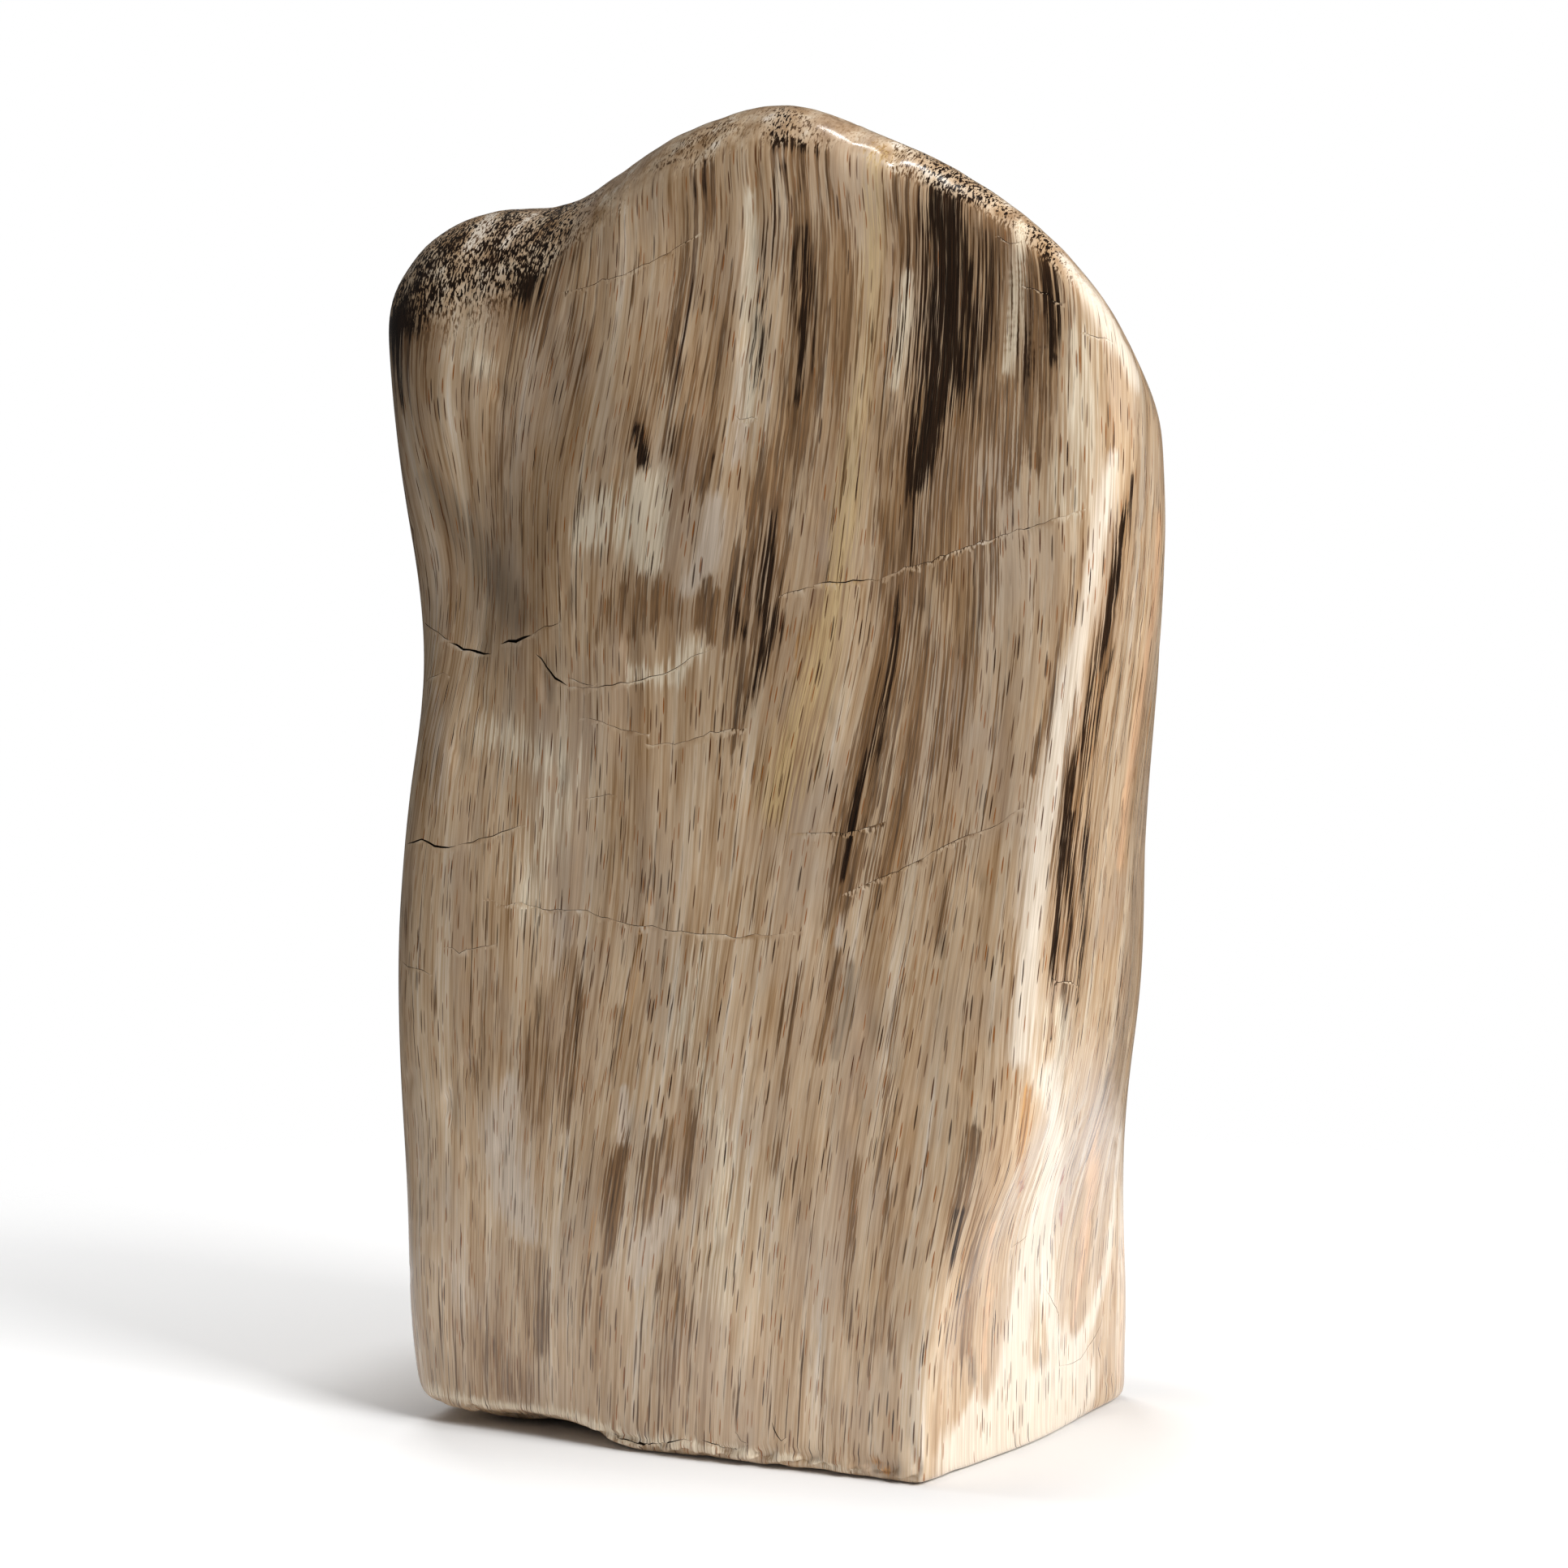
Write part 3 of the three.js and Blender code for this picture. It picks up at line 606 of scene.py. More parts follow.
    ("brown", 0.41, [(1100, 1480, 12), (1092, 1560, 14), (1085, 1650, 12)]),
    ("brown", 0.42, [(985, 1200, 14), (965, 1320, 16), (950, 1440, 14)]),
    ("lilac", 0.90, [(1034, 1132, 9), (1031, 1166, 8)]),
    ("white", 0.80, [(1372, 560, 10), (1356, 650, 12), (1340, 740, 13), (1320, 840, 15), (1302, 940, 16),
        (1286, 1030, 18), (1274, 1120, 18), (1266, 1200, 18), (1256, 1300, 20)]),
    ("brown", 0.37, [(1414, 500, 8), (1410, 600, 10), (1404, 700, 12)]),
    ("lilac", 0.70, [(1412, 560, 8), (1402, 700, 12), (1392, 800, 12)]),
    ("black", 1.00, [(1396, 590, 8), (1387, 640, 9), (1377, 700, 10), (1366, 760, 10), (1352, 820, 10),
        (1338, 880, 10), (1326, 930, 10), (1316, 980, 10), (1309, 1030, 12), (1305, 1080, 12),
        (1301, 1140, 10), (1298, 1195, 7), (1296, 1240, 4), (1294, 1290, 2)]),
    ("black", 0.85, [(1372, 800, 8), (1352, 880, 9), (1340, 940, 9), (1334, 1010, 10), (1336, 1080, 10),
        (1334, 1140, 8), (1330, 1195, 5), (1327, 1240, 2)]),
    ("black", 0.80, [(1322, 1000, 6), (1319, 1080, 9), (1318, 1150, 8), (1314, 1210, 5), (1312, 1260, 2)]),
    ("brown", 0.85, [(1392, 640, 8), (1380, 720, 11), (1365, 790, 13), (1350, 860, 15), (1338, 930, 17),
        (1328, 1000, 19), (1322, 1080, 20), (1318, 1160, 18), (1314, 1225, 12)]),
    ("grey", 1.00, [(1312, 1215, 15), (1310, 1260, 16), (1304, 1310, 12), (1298, 1340, 8)]),
    ("tan", 1.00, [(1428, 640, 16), (1420, 760, 22), (1406, 860, 24), (1392, 960, 24), (1380, 1060, 22)]),
    ("brown", 0.22, [(1388, 800, 12), (1372, 900, 14), (1364, 1000, 16), (1356, 1080, 10)]),
    ("ochre", 0.90, [(1418, 860, 7), (1411, 930, 9), (1406, 1000, 7)]),
    ("brown", 0.69, [(1388, 1150, 4), (1382, 1205, 7), (1373, 1262, 5)]),
    ("ochre", 0.70, [(1360, 1130, 5), (1353, 1200, 6), (1346, 1290, 5)]),
    ("rust", 0.60, [(1331, 1222, 3), (1328, 1268, 4)]),
    ("black", 0.44, [(1366, 1318, 8), (1353, 1368, 14), (1342, 1415, 10)]),
    ("brown", 0.69, [(1366, 1325, 10), (1353, 1375, 14), (1340, 1425, 8)]),
    ("ochre", 1.00, [(1266, 1338, 5), (1264, 1380, 10), (1260, 1420, 12), (1257, 1470, 9)]),
    ("rust", 1.00, [(1257, 1452, 4), (1260, 1466, 5)]),
    ("rust", 1.00, [(1312, 1436, 4), (1308, 1458, 5)]),
    ("rust", 1.00, [(1309, 1480, 5), (1308, 1508, 5)]),
    ("white", 1.10, [(1282, 1480, 14), (1268, 1550, 26), (1258, 1620, 32), (1250, 1700, 36),
        (1240, 1780, 34)]),
    ("white", 0.80, [(1292, 1330, 24), (1298, 1450, 24), (1290, 1540, 22), (1298, 1640, 24),
        (1326, 1700, 36)]),
    ("white", 0.80, [(1380, 1400, 11), (1371, 1500, 12), (1362, 1570, 13), (1344, 1630, 15),
        (1322, 1668, 16)]),
    ("white", 1.50, [(1190, 1780, 40), (1255, 1750, 56), (1328, 1715, 50)]),
    ("pale", 0.60, [(1300, 1250, 36), (1296, 1400, 50), (1290, 1600, 60), (1250, 1740, 60)]),
    ("tan", 1.00, [(1352, 1380, 22), (1346, 1460, 28), (1336, 1540, 24), (1326, 1605, 12),
        (1322, 1635, 6)]),
    ("tan", 0.80, [(1388, 1500, 7), (1382, 1620, 9), (1378, 1700, 9)]),
    ("brown", 0.80, [(1206, 1395, 14), (1202, 1460, 22), (1196, 1540, 24), (1192, 1610, 22),
        (1189, 1665, 16)]),
    ("black", 0.61, [(1181, 1495, 8), (1177, 1540, 9), (1180, 1600, 6)]),
    ("tan", 1.00, [(1224, 1510, 8), (1219, 1600, 10), (1212, 1690, 8)]),
    ("grey", 0.90, [(1196, 1672, 16), (1199, 1702, 11)]),
    ("ochre", 1.20, [(1078, 1798, 8), (1092, 1812, 9)]),
    ("black", 0.44, [(1080, 1797, 6), (1096, 1806, 6)]),
    ("ochre", 0.60, [(1318, 1700, 5), (1322, 1720, 5)]),
    ("brown", 0.96, [(708, 1180, 9), (713, 1240, 13), (706, 1290, 14), (700, 1340, 12), (694, 1385, 9)]),
    ("black", 0.43, [(714, 1205, 4), (708, 1285, 6), (701, 1352, 5)]),
    ("brown", 0.66, [(662, 1235, 18), (655, 1300, 28), (652, 1372, 24)]),
    ("brown", 0.42, [(600, 1225, 28), (600, 1290, 38), (590, 1340, 20)]),
    ("brown", 0.60, [(764, 1250, 12), (756, 1310, 16), (738, 1345, 10)]),
    ("brown", 0.86, [(772, 1390, 8), (762, 1440, 18), (754, 1495, 19), (746, 1560, 8)]),
    ("black", 0.44, [(792, 1388, 6), (784, 1424, 9)]),
    ("brown", 0.80, [(852, 1345, 8), (848, 1400, 15), (840, 1460, 15), (836, 1500, 8)]),
    ("brown", 0.78, [(826, 1385, 9), (820, 1430, 15), (812, 1480, 13), (806, 1520, 7)]),
    ("brown", 0.70, [(802, 1400, 9), (797, 1440, 13), (792, 1480, 9)]),
    ("lilac", 1.00, [(628, 1335, 18), (618, 1400, 32), (632, 1470, 38), (650, 1515, 22)]),
    ("lilac", 1.10, [(768, 1343, 10), (768, 1404, 12)]),
    ("lilac", 0.90, [(826, 1490, 22), (800, 1535, 28), (784, 1580, 14)]),
    ("lilac", 0.60, [(556, 1560, 26), (586, 1620, 34)]),
    # Painted shade low on the left of the front, partly brown stain.
    ("brown", 0.72, [(596, 1640, 44), (622, 1710, 52)]),
    ("brown", 0.65, [(664, 1545, 14), (668, 1600, 16), (664, 1660, 12)]),
    ("lilac", 0.60, [(535, 850, 16), (540, 920, 26), (540, 990, 18)]),
    ("lilac", 0.60, [(690, 1130, 30), (680, 1190, 20)]),
    ("pale", 0.60, [(600, 900, 30), (700, 950, 50), (640, 1100, 40)]),
    ("pale", 0.50, [(860, 1180, 40), (840, 1280, 30), (900, 1420, 30), (880, 1600, 40)]),
    ("brown", 0.46, [(574, 1055, 6), (571, 1110, 9), (571, 1155, 7)]),
    ("brown", 0.64, [(638, 1045, 5), (634, 1090, 8), (628, 1130, 5)]),
    ("ochre", 0.55, [(802, 1098, 5), (785, 1180, 7), (770, 1270, 7), (755, 1350, 6)]),
    ("ochre", 0.75, [(742, 1440, 5), (731, 1520, 7), (722, 1612, 6)]),
    ("brown", 0.60, [(728, 1560, 10), (722, 1620, 8)]),
    ("brown", 0.66, [(634, 1535, 12), (646, 1590, 10), (650, 1640, 7)]),
    ("brown", 0.65, [(800, 1500, 24), (830, 1600, 30), (830, 1690, 24)]),
]
COLOURS = ["black", "brown", "grey", "pale", "honey", "tan", "ochre", "rust", "white", "lilac"]
FALL = 0.9  # exp(-0.9) is the 0.4 at the half-width
WOBBLE = 0.45
# A black stain lies in a wider brown one.
HALO = 1.9
HALO_STRENGTH = 0.75


def density_of_line(points, line):
    """How dense a stain is at each point: 1 on the line, 0.4 at its half-width, and near 0 at twice that.

    The wobble makes the half-width uneven, so a stain has lobes as damp in wood has."""
    densest = np.zeros(len(points))
    for (a, wide_a), (b, wide_b) in zip(line, line[1:]):
        along = b - a
        share = np.clip(((points - a) @ along) / max(along @ along, 1e-12), 0, 1)
        distance = np.linalg.norm(points - a - share[:, None] * along, axis=1)
        width = wide_a + (wide_b - wide_a) * share
        densest = np.maximum(densest, np.exp(-FALL * (distance * wobble / width) ** 2))
    return densest


def pixel_line(line):
    return [(np.array(nearest_seen(x, y)[0]), half * MM_PER_PIXEL * MM) for x, y, half in line]


wobble = 1 + WOBBLE * lumps(points, 9 * MM, 22 * MM, 51.3)
stains = {colour: np.zeros(len(points)) for colour in COLOURS}
for colour, strength, line in STAINS_AND_PAINTED_SHADE:
    density = density_of_line(points, pixel_line(line))
    stains[colour] += (1 - np.minimum(stains[colour], 1)) * strength * density
    if colour == "black":
        halo = density_of_line(points, [(spot, wide * HALO) for spot, wide in pixel_line(line)])
        stains["brown"] += (1 - np.minimum(stains["brown"], 1)) * strength * halo * HALO_STRENGTH
print("drew", len(STAINS_AND_PAINTED_SHADE), "stains on the faces in view")

# %% [markdown]
# The photograph doesn't show the back, the left side and most of the top. The same water stained them, so
# they get stains of the same kinds at random places, from one fixed seed. They fade out where the drawn ones
# begin. At the end a paler stain that lies over a dark one thins it.

# %% Stains on the sides out of view
HIDDEN_STAINS = {"black": 9, "brown": 26, "grey": 10, "pale": 12, "honey": 8, "tan": 8, "ochre": 8,
                 "lilac": 8}
WIDTHS_MM = {"black": (2, 7), "brown": (2, 9), "ochre": (1, 2.5)}
OTHER_WIDTHS_MM = (4, 12)
ON_BACK = 0.62  # share of the stains that start on the back; the others start on the left side
BACK_INSET = 10 * MM
LEFT_INSET = 14 * MM
MOST_BROWN = 0.85
WHITE_THINS_BLACK = 0.9
PALER_THINS_BROWN = 0.55
ENDS_THIN = 0.3
chance = np.random.default_rng(11)
to_camera = np.array(CAMERA_PLACE) - points
to_camera /= np.linalg.norm(to_camera, axis=1)[:, None]
hidden = 1 - ramp((normals * to_camera).sum(1), 0.02, 0.16)
low, high = np.array(cad_low), np.array(cad_high)


def hidden_line(narrowest, widest):
    """A line down the back or the left side, a little slanted, from a random place."""
    length = chance.uniform(40, 170) * MM
    top = chance.uniform(0.3, 1.0) * high[2]
    at = chance.uniform(0, 1)
    slant = chance.uniform(-0.02, 0.12)
    if at < ON_BACK:
        start = np.array([low[0] + (high[0] - low[0]) * at / ON_BACK, high[1] - BACK_INSET, top])
    else:
        share = (at - ON_BACK) / (1 - ON_BACK)
        start = np.array([low[0] + LEFT_INSET, low[1] + (high[1] - low[1]) * share, top])
    wide = chance.uniform(narrowest, widest) * MM
    line = []
    for share, swell in ((0, 0.5), (0.35, 1.0), (0.7, 0.9), (1, 0.4)):
        place = start + np.array([slant * length * share, 0, -length * share])
        on_surface = np.array(surface.find_nearest(Vector(place))[0])
        line.append((on_surface, wide * swell))
    return line


for colour, count in HIDDEN_STAINS.items():
    for _ in range(count):
        line = hidden_line(*WIDTHS_MM.get(colour, OTHER_WIDTHS_MM))
        density = density_of_line(points, line) * chance.uniform(0.5, 1.0) * hidden
        stains[colour] += (1 - np.minimum(stains[colour], 1)) * density
stains["brown"] = np.minimum(stains["brown"], MOST_BROWN)
stains["black"] -= WHITE_THINS_BLACK * stains["white"]
for colour in ("black", "brown"):
    stains[colour] -= ENDS_THIN * end_grain * (1 - left_shoulder)
stains["brown"] -= PALER_THINS_BROWN * np.maximum.reduce([stains["pale"], stains["white"], stains["lilac"]])
print("drew", sum(HIDDEN_STAINS.values()), "stains out of view")

# %% Keep the places and the stains with the points
def keep(mesh, name, values):
    kind = "FLOAT_VECTOR" if values.ndim == 2 else "FLOAT"
    layer = mesh.attributes.new(name, kind, "POINT")
    layer.data.foreach_set("vector" if values.ndim == 2 else "value", values.astype(np.float32).ravel())


keep(block.data, "grain", grain)
for colour, density in stains.items():
    keep(block.data, colour, density)
keep(block.data, "end_grain", end_grain)
print("each point keeps", len(stains), "stains, its place in the grain and how much of an end it is")

# %% [markdown]
# Silicified wood is chalcedony: fine quartz with an index of refraction of 1.54, polished to a soft gloss.
# Its look is fibres, which are the wood's own cells: 0.3 to 1 mm wide bundles, centimetres long, cream, tan
# and grey. A painted image would stretch and show seams, so the fibres are noise in the grain's own place,
# fine across the grain and long along it. On the crest, where fibres end, noise in the block's own place
# makes dots and clouds instead. One small function adds each node with its settings and its links.

# %% A function that adds a node
def add(tree, kind, inputs=None, **settings):
    """A node with its settings, and its inputs set to values or linked to outputs."""
    node = tree.nodes.new(kind)
    for name, value in settings.items():
        setattr(node, name, value)
    for name, value in (inputs or {}).items():
        if isinstance(value, bpy.types.NodeSocket):
            tree.links.new(value, node.inputs[name])
        else:
            node.inputs[name].default_value = value
    return node


# %% Fibres
stone.use_nodes = True
tree = stone.node_tree
tree.nodes.clear()
grain_place = add(tree, "ShaderNodeAttribute", attribute_name="grain").outputs["Vector"]
true_place = add(tree, "ShaderNodeTexCoord").outputs["Object"]
end_grain_here = add(tree, "ShaderNodeAttribute", attribute_name="end_grain").outputs["Fac"]

# A pattern's three sizes in millimetres, its detail, and a shift that makes it its own. The sizes are across,
# through and along the grain, or to the right, to the back and upwards. A single cell of wood is about
# 0.03 mm wide. The finest pattern here is far coarser: it draws bundles of cells, as fine as two or three
# pixels of the photograph show. The dots of the crest are its dark specks, about a millimetre wide.
FIBRES = {
    "fine": ((0.8, 0.8, 24), 3.0, 0),
    "medium": ((1.7, 1.7, 60), 4.0, 40),
    "broad": ((9, 9, 170), 3.0, 80),
    "patches": ((30, 30, 60), 3.0, 120),
    "threads": ((0.7, 0.7, 30), 2.0, 200),
    "wisps": ((3.2, 3.2, 50), 4.0, 240),
    "zones": ((16, 16, 75), 2.0, 280),
}
ENDS_OF_FIBRES = {"dots": ((0.6, 1.5, 2.6), 2.0, 11), "clouds": ((7, 7, 12), 3.0, 23)}
fibre = {}
for patterns, where, unit in ((FIBRES, grain_place, 1), (ENDS_OF_FIBRES, true_place, MM)):
    for name, (sizes_mm, detail, shift) in patterns.items():
        scaled = add(tree, "ShaderNodeVectorMath", {
            0: where, 1: [1 / (size * unit) for size in sizes_mm], 2: (shift,) * 3,
        }, operation="MULTIPLY_ADD")
        fibre[name] = add(tree, "ShaderNodeTexNoise", {
            "Vector": scaled.outputs[0], "Scale": 1.0, "Detail": detail, "Roughness": 0.6,
        }).outputs["Fac"]
print("fibre patterns:", list(fibre))

# %% Mix the fibres
# Strands colour the plain wood, hairs are the finest light and dark, and frays break up the edges of stains.
# Each row is the shares of the patterns, the levels of their sum that become 0 and 1, then the pattern that
# stands in for them on the crest, and its levels. The hairs of the crest run the other way from its frays, so
# a dot of stain is darkest in its middle.
MIXES = {
    "strands": ({"fine": 0.20, "medium": 0.42, "broad": 0.38}, (0.375, 0.635), "clouds", (0.28, 0.72)),
    "hairs": ({"threads": 0.55, "fine": 0.45}, (0.40, 0.60), "dots", (0.66, 0.44)),
    "frays": ({"fine": 0.32, "threads": 0.18, "medium": 0.38, "wisps": 0.12}, (0.41, 0.59),
              "dots", (0.43, 0.57)),
}
mixed = {}
for name, (shares, flank_levels, crest_pattern, crest_levels) in MIXES.items():
    total = 0.0
    for pattern, share in shares.items():
        total = add(tree, "ShaderNodeMath", {
            0: fibre[pattern], 1: share, 2: total,
        }, operation="MULTIPLY_ADD").outputs[0]
    spread = []
    for value, (lowest, highest) in ((total, flank_levels), (fibre[crest_pattern], crest_levels)):
        spread.append(add(tree, "ShaderNodeMapRange", {
            "Value": value, "From Min": lowest, "From Max": highest,
        }).outputs["Result"])
    mixed[name] = add(tree, "ShaderNodeMix", {
        0: end_grain_here, 2: spread[0], 3: spread[1],
    }, data_type="FLOAT").outputs[0]
print("mixed", list(mixed), "with", len(tree.nodes), "nodes so far")

# %% Colour of the plain wood
plain = add(tree, "ShaderNodeValToRGB", {"Fac": mixed["strands"]})
PLAIN_WOOD = [(0.0, "#7f5c39"), (0.25, "#ab8b68"), (0.5, "#c6aa8a"), (0.72, "#d6c0a4"), (1.0, "#efe2d2")]
while len(plain.color_ramp.elements) < len(PLAIN_WOOD):
    plain.color_ramp.elements.new(0.5)
for element, (position, hex_colour) in zip(plain.color_ramp.elements, PLAIN_WOOD):
    element.position = position
    element.color = linear(hex_colour)
patchy = add(tree, "ShaderNodeMapRange", {
    "Value": fibre["patches"], "From Min": 0.46, "From Max": 0.82,
}).outputs["Result"]
colour_so_far = add(tree, "ShaderNodeMix", {
    0: patchy, 6: plain.outputs["Color"], 7: linear("#b5a18e"),
}, data_type="RGBA").outputs[2]
print("plain wood has", len(PLAIN_WOOD), "tones and grey patches")

# %% [markdown]
# The stains go over the plain wood one by one. A stain's density plus the frayed fibres says where it starts,
# so its edge runs out in single fibres, as ink does in wood. Each stain has a dark and a light tone, hair by
# hair, because silica fills each cell a little differently.

# %% Stains over the plain wood
# Each stain's dark and light colour, the density where it starts and where it is full, how much the fibres
# fray it, and how much it covers.
STAIN_LOOKS = {
    "lilac": ("#c8b6a3", "#dbcab7", 0.3, 0.9, 0.6, 0.80),
    # The grey is also painted shade: over the hollow under the left shoulder, low on the left of the front
    # and along the broken edge of the foot.
    "grey": ("#5f5042", "#85745f", 0.3, 1.1, 0.9, 0.85),
    "pale": ("#dfcbad", "#eee0c8", 0.3, 0.9, 0.9, 0.9),
    "honey": ("#c9a56c", "#dbc08e", 0.3, 1.1, 1.0, 0.8),
    "tan": ("#cd9e76", "#e3bc96", 0.3, 1.0, 0.6, 0.85),
    "white": ("#ddccb6", "#e9dccb", 0.15, 0.8, 0.35, 0.95),
    "ochre": ("#8c521a", "#cf9a58", 0.4, 1.0, 1.2, 0.85),
    "rust": ("#7a3215", "#9a4a22", 0.4, 0.9, 0.8, 0.9),
    "brown": ("#351d0b", "#8d6843", 0.38, 0.92, 1.75, 0.90),
    "black": ("#0a0502", "#2e1d11", 0.44, 0.82, 1.35, 0.97),
}
BROWN_EVERYWHERE = 0.18
zones = add(tree, "ShaderNodeMapRange", {
    "Value": fibre["zones"], "From Min": 0.38, "From Max": 0.66,
}).outputs["Result"]
zones_on_flanks = add(tree, "ShaderNodeMix", {
    0: end_grain_here, 2: zones, 3: 0.0,
}, data_type="FLOAT").outputs[0]
amounts = {}
for name, (dark, light, starts, full, fray, cover) in STAIN_LOOKS.items():
    density = add(tree, "ShaderNodeAttribute", attribute_name=name).outputs["Fac"]
    if name == "brown":
        density = add(tree, "ShaderNodeMath", {
            0: zones_on_flanks, 1: BROWN_EVERYWHERE, 2: density,
        }, operation="MULTIPLY_ADD").outputs[0]
    centred = add(tree, "ShaderNodeMath", {0: density, 1: fray / 2}, operation="SUBTRACT").outputs[0]
    frayed = add(tree, "ShaderNodeMath", {
        0: mixed["frays"], 1: fray, 2: centred,
    }, operation="MULTIPLY_ADD").outputs[0]
    amounts[name] = add(tree, "ShaderNodeMapRange", {
        "Value": frayed, "From Min": starts, "From Max": full, "To Max": cover,
    }, interpolation_type="SMOOTHSTEP").outputs["Result"]
    tint = add(tree, "ShaderNodeMix", {
        0: mixed["hairs"], 6: linear(dark), 7: linear(light),
    }, data_type="RGBA").outputs[2]
    colour_so_far = add(tree, "ShaderNodeMix", {
        0: amounts[name], 6: colour_so_far, 7: tint,
    }, data_type="RGBA").outputs[2]
thread_light = add(tree, "ShaderNodeMapRange", {
    "Value": fibre["threads"], "From Min": 0.38, "From Max": 0.62, "To Min": 0.90, "To Max": 1.05,
}).outputs["Result"]
colour_so_far = add(tree, "ShaderNodeVectorMath", {
    0: colour_so_far, 1: thread_light,
}, operation="MULTIPLY").outputs[0]
print("stain colours:", list(STAIN_LOOKS))

# %% [markdown]
# Vessels are the wood's water pipes, 0.2 to 0.35 mm wide. The polish cuts them lengthwise into dashes up to a
# centimetre long, filled brown, black or with iron. They could be noise with a hard edge, but that runs
# together. A Voronoi pattern in two dimensions draws one dash to each of its cells, and its cells' own
# colours say which are shown and how dark. They are drawn about 0.5 mm wide, because thinner ones would fall
# between the pixels. Where fibres end and in dark stains none is drawn.

# %% Vessels
apart = add(tree, "ShaderNodeSeparateXYZ", {0: grain_place}).outputs
run_of_grain = add(tree, "ShaderNodeCombineXYZ", {"X": apart["X"], "Y": apart["Z"]}).outputs["Vector"]
hides = end_grain_here
for name in ("brown", "black"):
    hides = add(tree, "ShaderNodeMath", {0: hides, 1: amounts[name]}, operation="MAXIMUM").outputs[0]
lengthwise = add(tree, "ShaderNodeMath", {0: 1.0, 1: hides}, operation="SUBTRACT").outputs[0]
# Each kind: spacing across and along in millimetres, size as a share of the spacing, share shown, colour and
# shift.
VESSELS = [
    (1.8, 28, 0.145, 0.46, "#4c240c", 300),
    (1.6, 20, 0.145, 0.38, "#8f5420", 340),
    (2.4, 36, 0.120, 0.32, "#301609", 380),
]
for across_mm, along_mm, size, shown, hex_colour, shift in VESSELS:
    squeeze = (1 / across_mm, 1 / along_mm, 1)
    squeezed = add(tree, "ShaderNodeVectorMath", {
        0: run_of_grain, 1: squeeze, 2: (shift,) * 3,
    }, operation="MULTIPLY_ADD")
    pipes = add(tree, "ShaderNodeTexVoronoi", {"Vector": squeezed.outputs[0], "Scale": 1.0},
                feature="F1", voronoi_dimensions="2D")
    dash = add(tree, "ShaderNodeMapRange", {
        "Value": pipes.outputs["Distance"], "From Min": size, "From Max": size * 0.75,
    }, interpolation_type="SMOOTHSTEP").outputs["Result"]
    picked = add(tree, "ShaderNodeSeparateColor", {0: pipes.outputs["Color"]}).outputs[0]
    there = add(tree, "ShaderNodeMath", {0: picked, 1: shown}, operation="LESS_THAN").outputs[0]
    darkness = add(tree, "ShaderNodeMapRange", {
        "Value": picked, "From Min": shown, "From Max": 0.0, "To Min": 0.6, "To Max": 1.0,
    }).outputs["Result"]
    for factor in (there, darkness, lengthwise):
        dash = add(tree, "ShaderNodeMath", {0: dash, 1: factor}, operation="MULTIPLY").outputs[0]
    colour_so_far = add(tree, "ShaderNodeMix", {
        0: dash, 6: colour_so_far, 7: linear(hex_colour),
    }, data_type="RGBA").outputs[2]
print("vessels are drawn in", len(VESSELS), "kinds")

# %% Polish
# A hand-polished stone: a soft gloss that varies a little from wisp to wisp, over barely raised hairs.
raised_hairs = add(tree, "ShaderNodeBump", {
    "Height": mixed["hairs"], "Strength": 0.05, "Distance": 0.3 * MM,
}).outputs["Normal"]
gloss = add(tree, "ShaderNodeMapRange", {
    "Value": fibre["wisps"], "From Min": 0.35, "From Max": 0.65, "To Min": 0.14, "To Max": 0.28,
}).outputs["Result"]
skin = add(tree, "ShaderNodeBsdfPrincipled", {
    "Base Color": colour_so_far, "Roughness": gloss, "IOR": 1.54, "Normal": raised_hairs,
})
add(tree, "ShaderNodeOutputMaterial", {"Surface": skin.outputs["BSDF"]})
print("the polished stone has", len(tree.nodes), "nodes")

# %% Walls of the cracks
# Broken stone with dirt in it, darkened past the dirt as painted shade, since a narrow crack is dark inside:
# matt, and brown to nearly black in grains of about 1 mm.
crack_wall_dirt_and_shade.use_nodes = True
walls = crack_wall_dirt_and_shade.node_tree
walls.nodes.clear()
dirt = add(walls, "ShaderNodeTexNoise", {"Scale": 900.0, "Detail": 2.0})
dirt_and_shade_colour = add(walls, "ShaderNodeValToRGB", {"Fac": dirt.outputs["Fac"]})
dirt_and_shade_colour.color_ramp.elements[0].color = linear("#1c120a")
dirt_and_shade_colour.color_ramp.elements[1].color = linear("#4a3623")
rough = add(walls, "ShaderNodeBsdfPrincipled", {"Base Color": dirt_and_shade_colour.outputs["Color"], "Roughness": 0.9})
add(walls, "ShaderNodeOutputMaterial", {"Surface": rough.outputs["BSDF"]})
print("the cracks' walls have", len(walls.nodes), "nodes")

# %% [markdown]
# A blade leaves thin slivers of faces beside a crack, and smooth shading across them shows as a raised line.
# A bevel would hide that but widen the crack. So every corner of the polished faces takes the normal that the
# polish had there before the cuts, and only the walls of the cracks and the sawn foot stay flat.

# %% Smooth shading, and the piece's place in the frame
def polish_normal(place):
    """The normal that the polish had at this place before the cracks were cut."""
    found = polish_tree.find_nearest(place)
    corners = polish_faces[found[2]]
    weights = [1 / ((Vector(polish_points[corner]) - found[0]).length + 1e-7) for corner in corners]
    total = sum((Vector(polish_normals[corner]) * w for corner, w in zip(corners, weights)), Vector())
    return total.normalized()


at_point = [polish_normal(vertex.co) for vertex in block.data.vertices]
wanted = []
for polygon in block.data.polygons:
    polygon.use_smooth = True
    on_polish = polygon.material_index == 0 and polygon.normal.z > -0.9
    for corner in polygon.vertices:
        wanted.append(at_point[corner] if on_polish else polygon.normal)
block.data.normals_split_custom_set(wanted)
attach(block, "root")
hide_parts("fossil_wood")
print("shaded", len(wanted), "corners of the block")

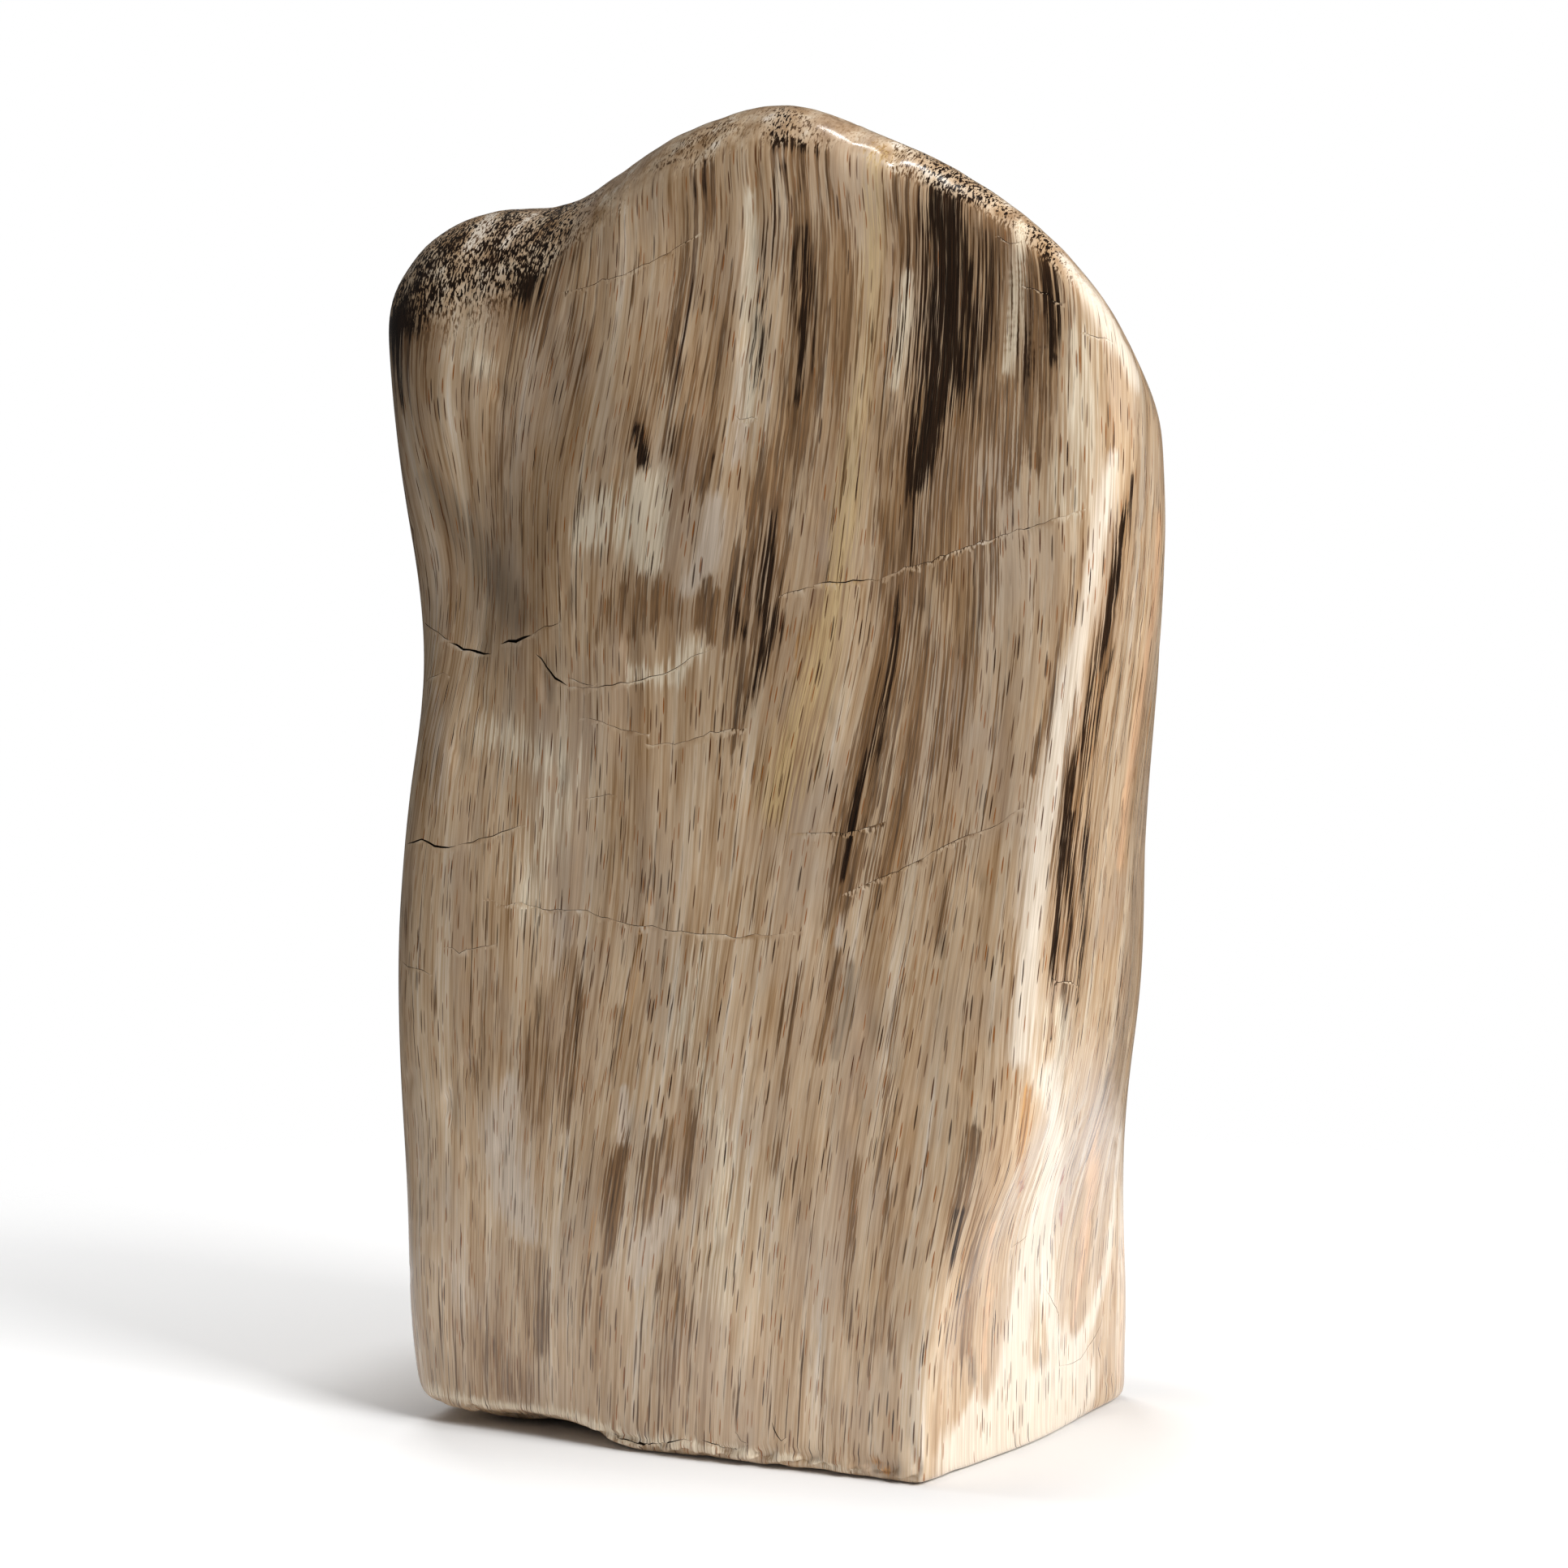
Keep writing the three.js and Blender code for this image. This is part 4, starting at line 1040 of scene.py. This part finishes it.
# %% [markdown]
# The studio: a white floor, a large soft light on the right, a weaker one at the left behind, one from above
# and a little fill from the front. The sky is white to the camera, as paper behind the piece would be, and
# dim as a light, so that the lamps shape the block. A lit white floor alone would come out grey at the
# camera's low angle, so the paper glows a little, from beyond the foot on, to keep the shadow under its edge.

# %% Floor
REACH = 0.8
PAPER_FADES = (0.34, 0.62)
FOOT_HALF = (0.085, 0.062, 0)
GLOW_FROM_FOOT = 0.10
STRONGEST_GLOW = 0.28
floor_mesh = bpy.data.meshes.new("floor")
disc = bmesh.new()
bmesh.ops.create_circle(disc, cap_ends=True, radius=REACH, segments=96)
disc.to_mesh(floor_mesh)
disc.free()
floor = link(bpy.data.objects.new("floor", floor_mesh))
paper = bpy.data.materials.new("white_paper_matt")
paper.use_nodes = True
sheet = paper.node_tree
sheet.nodes.clear()
spot = add(sheet, "ShaderNodeTexCoord").outputs["Object"]
mirrored = add(sheet, "ShaderNodeVectorMath", {0: spot}, operation="ABSOLUTE").outputs[0]
past_edge = add(sheet, "ShaderNodeVectorMath", {0: mirrored, 1: FOOT_HALF}, operation="SUBTRACT").outputs[0]
beyond_foot = add(sheet, "ShaderNodeVectorMath", {0: past_edge, 1: (0, 0, 0)}, operation="MAXIMUM").outputs[0]
from_foot = add(sheet, "ShaderNodeVectorMath", {0: beyond_foot}, operation="LENGTH").outputs["Value"]
glow = add(sheet, "ShaderNodeMapRange", {
    "Value": from_foot, "From Max": GLOW_FROM_FOOT, "To Max": STRONGEST_GLOW,
}, interpolation_type="SMOOTHSTEP").outputs["Result"]
matt = add(sheet, "ShaderNodeBsdfPrincipled", {
    "Base Color": linear("#f2f2f2"), "Roughness": 0.9, "Specular IOR Level": 0.0,
    "Emission Color": linear("#ffffff"), "Emission Strength": glow,
})
clear = add(sheet, "ShaderNodeBsdfTransparent")
from_middle = add(sheet, "ShaderNodeVectorMath", {0: spot}, operation="LENGTH").outputs["Value"]
fade = add(sheet, "ShaderNodeMapRange", {
    "Value": from_middle, "From Min": PAPER_FADES[0], "From Max": PAPER_FADES[1],
}, interpolation_type="SMOOTHSTEP").outputs["Result"]
faded = add(sheet, "ShaderNodeMixShader", {0: fade, 1: matt.outputs[0], 2: clear.outputs[0]})
add(sheet, "ShaderNodeOutputMaterial", {"Surface": faded.outputs[0]})
floor_mesh.materials.append(paper)
print("floor:", REACH * 2, "m across")

# %% Lamps
AIM = Vector((0, 0, 0.2))
# Each lamp: place in metres, size in metres, power in watts.
LAMPS = {
    "key_right": ((1.20, -0.38, 0.80), (0.6, 0.6), 24),
    "top": ((0.2, -0.1, 1.5), (0.9, 0.9), 4),
    "top_strip": ((0.0, -0.05, 1.35), (0.12, 0.06), 1.6),
    "fill_front": ((-0.2, -1.6, 0.9), (1.0, 1.0), 1.2),
    "back_left": ((-0.8, 0.9, 0.8), (0.6, 0.6), 9),
}
for name, (where, size, watts) in LAMPS.items():
    lamp = bpy.data.lights.new(name, "AREA")
    lamp.shape = "RECTANGLE"
    lamp.size, lamp.size_y = size
    lamp.energy = watts
    holder = link(bpy.data.objects.new(name, lamp))
    holder.location = where
    holder.rotation_euler = (AIM - Vector(where)).to_track_quat("-Z", "Y").to_euler()
    holder.visible_glossy = name == "top_strip"
print("lamps:", list(LAMPS))

# %% Sky
world = bpy.data.worlds.new("sky")
scene.world = world
world.use_nodes = True
sky = world.node_tree
sky.nodes.clear()
SKY_LIGHT = 0.06
to_eye = add(sky, "ShaderNodeLightPath").outputs["Is Camera Ray"]
dim = add(sky, "ShaderNodeBackground", {"Color": linear("#ffffff"), "Strength": SKY_LIGHT})
bright = add(sky, "ShaderNodeBackground", {"Color": linear("#ffffff"), "Strength": 1.0})
seen = add(sky, "ShaderNodeMixShader", {0: to_eye, 1: dim.outputs[0], 2: bright.outputs[0]})
add(sky, "ShaderNodeOutputWorld", {"Surface": seen.outputs[0]})
print("sky light:", SKY_LIGHT)
scene.view_settings.view_transform = "Standard"
scene.cycles.use_denoising = True
